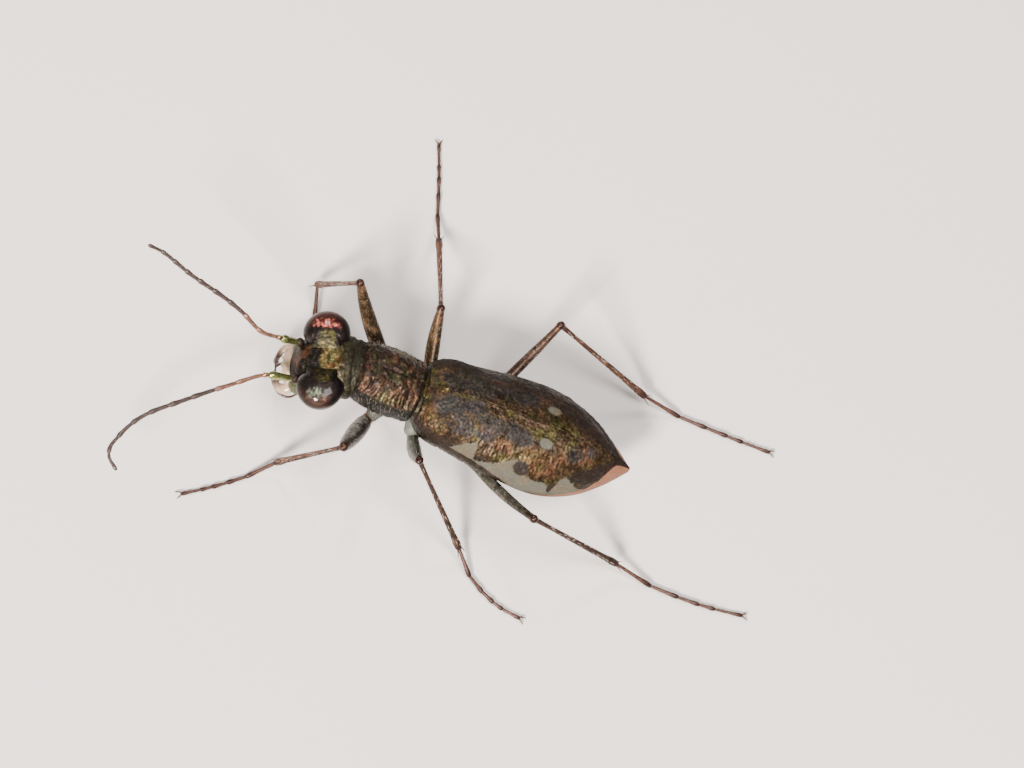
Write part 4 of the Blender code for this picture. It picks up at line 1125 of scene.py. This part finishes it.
def eye(side, material):
    """One bulging compound eye, a little flattened where the plate covers it."""
    rows, columns = 96, 128
    polar = np.linspace(0.01, np.pi - 0.01, rows)[:, None]
    turn_round = np.linspace(0, 2 * np.pi, columns, endpoint=False)[None]
    unit = np.stack([
        np.sin(polar) * np.cos(turn_round), np.sin(polar) * np.sin(turn_round),
        np.broadcast_to(np.cos(polar), (rows, columns)),
    ], axis=-1)
    wide = np.where(unit[..., 0] > 0, EYE_OUTER, EYE_INNER)
    tall = np.where(unit[..., 2] > 0, EYE_TOP, EYE_UNDER)
    grid = EYE_CENTRE + unit * np.stack([wide, np.full_like(wide, EYE_LONG), tall], axis=-1)
    tint = eye_tints(unit, grid, side)
    points, faces = closed_rings(head_to_floor(mirrored(grid, side)))
    surface = Surface()
    surface.add(points, faces, tint=ring_values(tint), shine=0.3, rough=0.25)
    return surface.build("compound_eye_" + side, material, ["eye_" + side])


def lip(material):
    """The pale upper lip: arched, with a low middle tooth and a brown hind rim."""
    rows, columns = 60, 90
    share = np.linspace(0.0, 1.0, rows)[:, None]
    across = np.linspace(-1.0, 1.0, columns)[None]
    half = 0.62 - 0.10 * share ** 2
    x = half * across
    tooth = 0.05 * np.exp(-(across / 0.12) ** 2) + 0.03 * np.exp(-((np.abs(across) - 0.45) / 0.12) ** 2)
    reach = (0.28 + tooth) * (1 - 0.22 * np.clip(across, 0.0, 1.0))
    y = -2.04 - reach * share + 0.05 * across ** 2
    z = -0.44 - 0.10 * share ** 2 - 0.26 * np.abs(across) ** 2.2
    z = z + 0.025 * np.exp(-((share - 0.45) / 0.2) ** 2) * (1 - across ** 2)
    grid = np.stack([x, y, z], axis=-1)
    under = grid[:, ::-1] - np.array((0.0, 0.0, 0.09))
    ring = np.concatenate([grid, under], axis=1)
    ring_share = np.concatenate([np.broadcast_to(share, x.shape)] * 2, axis=1)
    edge_dark = step(ring_share, 0.9, 1.0) + step(np.abs(ring[..., 0]), 0.5, 0.62) * 0.4
    tint = mix((0.34, 0.23, 0.145), (0.10, 0.05, 0.028), np.clip(edge_dark, 0, 1) * 0.7)
    tint = mix(tint, (0.30, 0.16, 0.045), 1 - step(ring_share + 0.1 * noise(ring, 0.1, 130), 0.05, 0.2))
    points, faces = closed_rings(head_to_floor(ring))
    surface = Surface()
    surface.add(points, faces, tint=ring_values(tint), shine=0.0, rough=0.38)
    return surface.build("lip_plate", material, ["labrum"])


def mandible(side, material):
    """A sickle jaw: ivory at its base, dark and toothed towards the tip."""
    path = mirrored(((0.44, -1.9, -0.8), (0.62, -2.14, -0.86), (0.6, -2.36, -0.92), (0.34, -2.52, -0.98), (-0.02, -2.54, -1.0)), side)
    stations = ((0.0, 0.17), (0.25, 0.16), (0.5, 0.12), (0.75, 0.08), (1.0, 0.03))
    surface = Surface()

    def tint(share):
        return mix(np.array((0.38, 0.25, 0.17)), np.array((0.03, 0.014, 0.009)), float(step(share, 0.4, 0.65)))

    limb(surface, head_to_floor(path), stations, 40, 18, 0.7, tint=tint, shine=0.1, rough=0.3)
    for share, reach in ((0.62, 0.12), (0.78, 0.1)):
        line = smooth_line(path, 60)
        root = line[int(share * 59)]
        tip = root + mirrored((-0.1, 0.12, 0.0), side) * reach / 0.12
        limb(surface, head_to_floor([root, (root + tip) / 2, tip]), ((0, 0.05), (0.6, 0.03), (1, 0.01)), 8, 10, tint=(0.05, 0.025, 0.015), shine=0.1, rough=0.3)
    return surface.build("jaw_" + side, material, ["mandible_" + side])


def jointed(surface, path, shares, widths, swell=1.3, count=14, sides=14, **looks):
    """A feeler or palp of several joints along one line, each a little wider at its far end."""
    line = smooth_line(path, 240)
    ends = np.concatenate([[0.0], np.cumsum(shares)])
    ends = ends / ends[-1]
    for index, width in enumerate(widths):
        low, high = ends[index], ends[index + 1]
        places = np.linspace(low, high, 5) * (len(line) - 1)
        points = np.stack([np.interp(places, np.arange(len(line)), line[:, axis]) for axis in range(3)], axis=1)
        stations = ((0.0, width * 0.72), (0.12, width * 0.9), (0.6, width), (0.9, width * swell), (1.0, width * swell * 0.8))
        chosen = {key: value[index] if isinstance(value, list) else value for key, value in looks.items()}
        limb(surface, points, stations, count, sides, **chosen)


def palps(side, material):
    """The two feelers beside and under each jaw."""
    surface = Surface()
    outer = ((0.42, -1.72, -1.14), (0.7, -1.9, -1.14), (0.78, -2.12, -1.12), (0.7, -2.36, -1.1), (0.42, -2.56, -1.08), (0.24, -2.6, -1.12))
    inner = ((0.16, -1.85, -1.24), (0.3, -2.1, -1.34), (0.34, -2.35, -1.36), (0.2, -2.56, -1.34))
    brown = (0.055, 0.022, 0.012)
    jointed(surface, head_to_floor(mirrored(outer, side)), (1, 1.2, 0.9, 1.1), (0.038, 0.036, 0.034, 0.038), 1.15, tint=[brown, brown, brown, (0.03, 0.018, 0.012)], shine=0.2, rough=0.35)
    jointed(surface, head_to_floor(mirrored(inner, side)), (1, 1.4, 1), (0.04, 0.034, 0.036), 1.15, tint=brown, shine=0.2, rough=0.35)
    return surface.build("palps_" + side, material, ["palp_" + side])


def antenna_path(side):
    base = head_to_floor(mirrored(ANTENNA_BASE, side))
    return np.concatenate([base[None], np.array(ANTENNA_BENDS[side])])


def antenna(side, material):
    """A thread-like feeler of eleven joints: the first four metallic, the rest dull brown."""
    surface = Surface()
    widths = [0.11, 0.07, 0.064, 0.066, 0.068, 0.07, 0.068, 0.065, 0.062, 0.058, 0.05]
    metal = (0.28, 0.30, 0.10)
    brown = (0.042, 0.027, 0.024)
    tints = [metal, (0.36, 0.24, 0.11), (0.26, 0.12, 0.08), (0.20, 0.09, 0.065)] + [brown] * 7
    shine = [0.85, 0.85, 0.6, 0.5] + [0.1] * 7
    rough = [0.16, 0.16, 0.22, 0.3] + [0.5] * 7
    jointed(surface, antenna_path(side), ANTENNOMERE_SHARES, widths, 1.22, tint=tints, shine=shine, rough=rough)
    return surface.build("feeler_" + side, material, ["antenna_" + side])


# Legs

def heading(side, azimuth, rise):
    out = 1.0 if side == "left" else -1.0
    level = math.cos(rise)
    return np.array((out * math.cos(azimuth) * level, math.sin(azimuth) * level, math.sin(rise)))


def leg_joints(pair, side):
    """Hip, knee, and the ankle followed by the end of each tarsal joint, as in the part."""
    femur, tibia, tarsus = LEG_LENGTHS[pair]
    angles = [math.radians(angle) for angle in LEG_POSES[pair, side]]
    hip = body_to_floor(mirrored(HIPS[pair], side))
    knee = hip + femur * heading(side, angles[0], angles[1])
    fall = math.asin((ANKLE_HEIGHT - knee[2]) / tibia)
    point = knee + tibia * heading(side, angles[2], fall)
    foot = [point]
    count = len(TARSUS_SHARES)
    length = tarsus * SHORT_TARSUS.get((pair, side), 1.0)
    for index, share in enumerate(TARSUS_SHARES):
        bend = angles[3] + (angles[4] - angles[3]) * (index + 0.5) / count
        point = point + length * share * heading(side, bend, 0.0)
        foot.append(point)
    return hip, knee, np.array(foot)


def thigh_line(pair, side, knee):
    """From the small joint at the hip's outer end to the knee, sagging a little."""
    start = body_to_floor(mirrored(THIGH_STARTS[pair], side))
    points = []
    for share in (0.0, 0.2, 0.45, 0.72, 1.0):
        sag = FEMUR_SAG * 4 * share * (1 - share)
        points.append(start + (knee - start) * share - np.array((0.0, 0.0, sag)))
    return start, np.array(points)


def toe_line(foot):
    """The joints' ends, coming down from the ankle and then lying on the floor."""
    toes = foot.copy()
    toes[:, 2] = np.linspace(0.115, 0.06, len(foot))
    toes[0, 2] = ANKLE_HEIGHT
    return toes


def toe_tint(share):
    """Red-brown, with a dark ring at the far end of each joint."""
    return mix(np.array((0.075, 0.036, 0.027)), np.array((0.024, 0.011, 0.010)), float(step(share, 0.65, 0.85)))


def painted_limb(surface, line_points, stations, count, sides, tints, far_start, seed, shine=0.5, rough=0.34):
    """A limb painted paler on its lit upper face and darker on its shaded lower face, with the lower colour near its
    start, a far end of its own colour and coppery blotches.
    """
    upper, lower, far = (np.array(tint) for tint in tints)
    part = Surface()
    limb(part, line_points, stations, count, sides)
    points, faces = part.points[0], part.faces
    start, end = np.asarray(line_points[0]), np.asarray(line_points[-1])
    reach = (points - start) @ (end - start) / ((end - start) @ (end - start))
    normals = point_normals(points, faces)
    toward_light = normals @ LIT_FACE
    # Painted light: the face towards the light is paler, the face away from it darker
    tint = mix(lower, upper, step(toward_light + 0.25 * noise(points, 0.12, seed), 0.3, 0.7))
    tint = mix(tint, far, step(reach, far_start, 1.0))
    tint = mix(tint, lower, 1 - step(reach, 0.0, 0.16))
    blotch = step(noise(points, 0.11, seed + 1) + 0.5 * noise(points, 0.05, seed + 2), 0.05, 0.5)
    tint = mix(tint, tint * 0.35, blotch * 0.8)
    glow = step(noise(points, 0.07, seed + 3), 0.35, 0.6)
    tint = mix(tint, tint * (1.9, 1.6, 1.2), glow * 0.7)
    surface.add(points, faces, tint=tint, shine=shine, rough=rough)


def point_normals(points, faces):
    """Unit normals at the points of a mesh, from its quads and triangles."""
    total = np.zeros_like(points)
    for group in faces:
        corner = points[group]
        normal = np.cross(corner[:, 1] - corner[:, 0], corner[:, 2] - corner[:, 0])
        for column in range(group.shape[1]):
            np.add.at(total, group[:, column], normal)
    return total / np.maximum(np.linalg.norm(total, axis=1, keepdims=True), 1e-12)


def thigh_radii(pair, side):
    return tuple((share, radius * NARROW_THIGH.get((pair, side), 1.0)) for share, radius in FEMUR_RADII[pair])


def leg(pair, side, material):
    """One leg: hip joint, thigh, shin with its two spurs, five foot joints and a pair of claws."""
    surface = Surface()
    hip, knee, foot = leg_joints(pair, side)
    start, thigh = thigh_line(pair, side, knee)
    inner = body_to_floor(mirrored(HIP_JOINTS[pair][1], side))
    limb(
        surface, [inner, (inner + start) / 2, start, thigh[1]], ((0, 0.17), (0.5, 0.18), (1, 0.13)), 14, 18,
        tint=JOINT_TINTS[pair, side], shine=0.3, rough=0.4,
    )
    painted_limb(surface, thigh, thigh_radii(pair, side), 70, 26, THIGH_TINTS[pair, side], 0.7, 700)
    knob = [knee + (thigh[-2] - knee) * 0.05, knee, knee + (foot[0] - knee) * 0.02]
    limb(surface, knob, ((0, 0.12), (0.5, 0.13), (1, 0.105)), 8, 16, tint=(0.03, 0.012, 0.009), shine=0.35, rough=0.26)
    shin = np.array([knee + (foot[0] - knee) * share for share in (0.0, 0.33, 0.66, 1.0)])
    painted_limb(surface, shin, TIBIA_RADII, 60, 18, SHIN_TINTS[side], 0.9, 710, 0.15, 0.55)
    toes = toe_line(foot)
    for index, width in enumerate(TARSUS_RADII):
        a, b = toes[index], toes[index + 1]
        points = [a, a + (b - a) * 0.33, a + (b - a) * 0.66, b]
        stations = ((0.0, width * 0.65), (0.1, width * 0.8), (0.6, width * 0.92), (0.88, width * 1.2), (1.0, width * 1.05))
        limb(surface, points, stations, 18, 14, tint=toe_tint, shine=0.25, rough=0.4)
    claws_and_spurs(surface, knee, toes)
    return surface.build("walking_leg_%s_%s" % (pair, side), material, ["leg_%s_%s" % (pair, side)])


def claws_and_spurs(surface, knee, toes):
    ahead = toes[-1] - toes[-2]
    ahead = ahead * (1, 1, 0) / np.linalg.norm(ahead[:2])
    across = np.array((-ahead[1], ahead[0], 0.0))
    for sign in (-1, 1):
        root = toes[-1] - 0.03 * ahead
        path = [
            root, root + 0.30 * CLAW_LENGTH * ahead + sign * 0.04 * across + (0, 0, 0.04),
            root + 0.75 * CLAW_LENGTH * ahead + sign * 0.09 * across + (0, 0, 0.01),
            root + 1.0 * CLAW_LENGTH * ahead + sign * 0.11 * across - (0, 0, 0.035),
        ]
        limb(surface, path, ((0, 0.03), (0.5, 0.022), (1, 0.006)), 14, 9, tint=(0.07, 0.035, 0.02), shine=0.2, rough=0.3)
    down = (toes[0] - knee) / np.linalg.norm(toes[0] - knee)
    side = np.cross(down, (0.0, 0.0, 1.0))
    side /= np.linalg.norm(side)
    for sign in (-1, 1):
        aim = down + sign * 0.35 * side
        aim /= np.linalg.norm(aim)
        root = toes[0] + sign * 0.05 * side
        tip = root + SPUR_LENGTH * aim
        tip[2] = max(tip[2], 0.1)
        limb(surface, [root, (root + tip) / 2, tip], ((0, 0.022), (0.6, 0.016), (1, 0.004)), 8, 8, tint=(0.14, 0.07, 0.04), shine=0.2, rough=0.3)


# Bristles on each part

def limb_bristles(surface, line, radii, count, length, radius, slot_column, seed, lie=0.55, tint=(0.72, 0.68, 0.6)):
    """Bristles scattered along a limb, leaning towards its far end."""
    draw = np.random.default_rng(seed)
    tangents, first, second = line_frames(line)
    shares = draw.uniform(0.06, 0.97, count) * (len(line) - 1)
    low = shares.astype(int)
    part = (shares - low)[:, None]
    angles = draw.uniform(0, 2 * np.pi, count)

    def at(values):
        return values[low] * (1 - part) + values[low + 1] * part

    out = at(first) * np.cos(angles)[:, None] + at(second) * np.sin(angles)[:, None]
    roots = at(line) + out * at(radii[:, None]) * 0.9
    aims = out + at(tangents) * (lie + draw.uniform(-0.2, 0.5, count))[:, None]
    lengths = length * draw.uniform(0.55, 1.2, count)
    patches = np.stack([slot_column[0] + slot_column[1] * angles / (2 * np.pi), shares / len(line)], axis=1) * 0.98 + 0.01
    keep = roots[:, 2] + aims[:, 2] / np.linalg.norm(aims, axis=1) * lengths > 0.02
    bristles(surface, roots[keep], aims[keep], lengths[keep], radius, patches[keep], tint, 0.3, seed + 1)


def leg_bristles(material):
    """Pale bristles on thighs and shins and short ones on the feet, one piece for each leg."""
    for number, (pair, side) in enumerate(LEG_POSES):
        surface = Surface()
        _, knee, foot = leg_joints(pair, side)
        _, thigh = thigh_line(pair, side, knee)
        line = smooth_line(thigh, 60)
        thick = along(thigh_radii(pair, side), np.linspace(0, 1, 60))
        limb_bristles(surface, line, thick, 140, 0.13, 0.004, (0.0, 0.3), 200 + number, 0.8, (0.42, 0.38, 0.31))
        shin = smooth_line([knee, (knee + foot[0]) / 2, foot[0]], 50)
        thick = along(TIBIA_RADII, np.linspace(0, 1, 50))
        limb_bristles(surface, shin, thick, 110, 0.15, 0.0045, (0.35, 0.3), 300 + number, 0.8, (0.55, 0.47, 0.37))
        toes = smooth_line(toe_line(foot), 60)
        limb_bristles(surface, toes, np.full(60, 0.06), 220, 0.09, 0.004, (0.7, 0.28), 400 + number, 1.0, (0.2, 0.14, 0.1))
        surface.build("bristles_%s_%s" % (pair, side), material, None)


def trunk_bristles(material):
    """White bristles on the collar's sides and the hip joints."""
    surface = Surface()
    draw = np.random.default_rng(500)
    count = 200
    y = draw.uniform(-1.9, -0.12, count)
    low_angle = draw.uniform(-62, 42, count)
    radians = np.radians(low_angle)
    half, top, bottom = along(PROTHORAX_HALF, y), along(PROTHORAX_TOP, y), along(PROTHORAX_BOTTOM, y)
    middle = bottom + (top - bottom) * PROTHORAX_POWERS[2]
    shape = 2 / np.where(radians > 0, PROTHORAX_POWERS[0], PROTHORAX_POWERS[1])
    x = half * power(np.cos(radians), shape)
    rise = np.where(radians > 0, top - middle, middle - bottom)
    z = middle + rise * power(np.sin(radians), shape)
    roots = np.stack([x, y, z], axis=1)
    aims = np.stack([np.cos(radians), draw.normal(0, 0.35, count), np.sin(radians) * 0.8 - 0.1], axis=1)
    flip = draw.random(count) < 0.5
    roots[flip, 0] *= -1
    aims[flip, 0] *= -1
    patches = np.stack([(low_angle + 62) / 104 * 0.45 + np.where(flip, 0.5, 0.02), (y + 1.95) / 1.9 * 0.4 + 0.02], axis=1)
    lengths = 0.13 * draw.uniform(0.5, 1.2, count)
    place_bristles(surface, roots, aims, lengths, patches, 510, tint=(0.28, 0.26, 0.22))
    for index, pair in enumerate(HIP_JOINTS):
        number = 110
        direction = draw.normal(size=(number, 3))
        direction[:, 0] = np.abs(direction[:, 0])
        direction /= np.linalg.norm(direction, axis=1, keepdims=True)
        low, high = np.array(HIP_JOINTS[pair])
        roots = low + (high - low) * draw.uniform(0.2, 1.0, (number, 1)) + direction * HIP_RADII[pair] * 0.95
        flip = draw.random(number) < 0.5
        roots[flip, 0] *= -1
        direction[flip, 0] *= -1
        patches = np.stack([np.arctan2(direction[:, 1], direction[:, 0]) / 7 + 0.5, direction[:, 2] * 0.05 + 0.55 + 0.13 * index], axis=1)
        lengths = 0.12 * draw.uniform(0.5, 1.2, number)
        place_bristles(surface, roots, direction, lengths, patches, 520 + index, tint=(0.34, 0.33, 0.29))
    return surface.build("bristles_trunk", material, None)


def place_bristles(surface, roots, aims, lengths, patches, seed, to_floor=body_to_floor, tint=(0.75, 0.72, 0.66)):
    """Bristles given in the body's or the head's frame."""
    origin = to_floor(np.zeros(3))
    bristles(surface, to_floor(roots), to_floor(aims) - origin, lengths, 0.005, patches, tint, 0.3, seed)


def feeler_bristles(material):
    """Short stiff bristles on the feelers."""
    for number, side in enumerate(("left", "right")):
        surface = Surface()
        line = smooth_line(antenna_path(side), 160)
        limb_bristles(surface, line, np.full(160, 0.055), 420, 0.07, 0.005, (0.0, 1.0), 600 + number, 0.9, (0.35, 0.28, 0.2))
        surface.build("bristles_feeler_" + side, material, None)


# Stage

def floor_stage():
    made, tree, shader = new_material("floor_pale")
    place = add_node(tree, "ShaderNodeTexCoord").outputs["Object"]
    cloud = add_node(tree, "ShaderNodeTexNoise", (), {"Vector": place, "Scale": 60.0, "Detail": 3.0})
    tone = colour_mix(tree, "MIX", cloud.outputs["Fac"], (0.66, 0.60, 0.57, 1.0), (0.70, 0.64, 0.61, 1.0))
    tree.links.new(tone, shader.inputs["Base Color"])
    shader.inputs["Roughness"].default_value = 0.8
    bpy.ops.mesh.primitive_plane_add(size=1.2, location=(0.0, 0.0, 0.0))
    plane = bpy.context.object
    plane.name = "floor"
    plane.data.materials.append(made)


CAMERA_TARGET = np.array((-1.66, 2.71, 1.5))
CAMERA_DISTANCE = 150.0
CAMERA_AZIMUTH = 70.0
CAMERA_ELEVATION = 62.3
CAMERA_ROLL = 37.2
PIXELS_PER_MM = 34.1
PHOTO_WIDTH = 1024
SENSOR_WIDTH = 36.0


def camera_axes():
    azimuth = math.radians(CAMERA_AZIMUTH)
    elevation = math.radians(CAMERA_ELEVATION)
    roll = math.radians(CAMERA_ROLL)
    back = np.array((math.sin(azimuth) * math.cos(elevation), -math.cos(azimuth) * math.cos(elevation), math.sin(elevation)))
    level = np.array((math.cos(azimuth), math.sin(azimuth), 0.0))
    upright = np.cross(back, level)
    right = math.cos(roll) * level + math.sin(roll) * upright
    up = -math.sin(roll) * level + math.cos(roll) * upright
    return right, up, back


def camera():
    right, up, back = camera_axes()
    data = bpy.data.cameras.new("camera")
    data.sensor_width = SENSOR_WIDTH
    data.lens = PIXELS_PER_MM * CAMERA_DISTANCE * SENSOR_WIDTH / PHOTO_WIDTH
    data.clip_start = 0.01
    data.clip_end = 5.0
    made = bpy.data.objects.new("camera", data)
    bpy.context.scene.collection.objects.link(made)
    place = (CAMERA_TARGET + CAMERA_DISTANCE * back + FOOTPRINT_SHIFT) * MM
    made.matrix_world = Matrix([[right[i], up[i], back[i], place[i]] for i in range(3)] + [[0.0, 0.0, 0.0, 1.0]])
    bpy.context.scene.camera = made


def soft_light(name, direction, distance, size, strength, colour=(1.0, 1.0, 1.0)):
    """A square soft box that looks at the beetle from one direction."""
    data = bpy.data.lights.new(name, "AREA")
    data.size = size
    data.energy = strength
    data.color = colour
    made = bpy.data.objects.new(name, data)
    bpy.context.scene.collection.objects.link(made)
    aim = Vector(direction).normalized()
    made.location = aim * distance
    made.rotation_euler = aim.to_track_quat("Z", "Y").to_euler()


def lights():
    soft_light("key", (0.79, -0.28, 0.62), 0.25, 0.045, 2.4, (1.0, 0.96, 0.91))
    soft_light("far", (-0.5, -0.35, 0.76), 0.25, 0.04, 0.3, (1.0, 0.93, 0.9))
    soft_light("top", (0.2, 0.2, 1.0), 0.3, 0.12, 1.1)
    world = bpy.data.worlds.new("studio")
    bpy.context.scene.world = world
    world.use_nodes = True
    background = world.node_tree.nodes["Background"]
    background.inputs["Color"].default_value = (0.9, 0.9, 0.92, 1.0)
    background.inputs["Strength"].default_value = 0.14


def main():
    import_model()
    grained = cuticle("elytra_grain", 9.0, 0.3, 0.4)
    wrinkled = cuticle("collar_grain", 9.0, 0.25, 0.4)
    brow = cuticle("head_grain", 10.0, 0.12, 0.35)
    under = cuticle("belly_grain", 11.0, 0.2, 0.3)
    leg_skin = cuticle("leg_grain", 16.0, 0.2, 0.3, 0.1)
    feeler_skin = cuticle("feeler_grain", 20.0, 0.1, 0.4, 0.35)
    horn = smooth_shell("horn")
    ivory = smooth_shell("ivory", 5.0, 0.12, 0.25)
    glass = eye_glass("eye_gloss")
    hair = bristle("bristle_white")
    for side in ("left", "right"):
        elytron(side, grained)
        eye(side, glass)
        mandible(side, horn)
        palps(side, horn)
        antenna(side, feeler_skin)
    scutellum(grained)
    prothorax(wrinkled)
    mid_trunk(under)
    abdomen(under)
    head_case(brow)
    lip(ivory)
    for pair, side in LEG_POSES:
        leg(pair, side, leg_skin)
    leg_bristles(hair)
    trunk_bristles(hair)
    feeler_bristles(hair)
    floor_stage()
    camera()
    lights()


main()
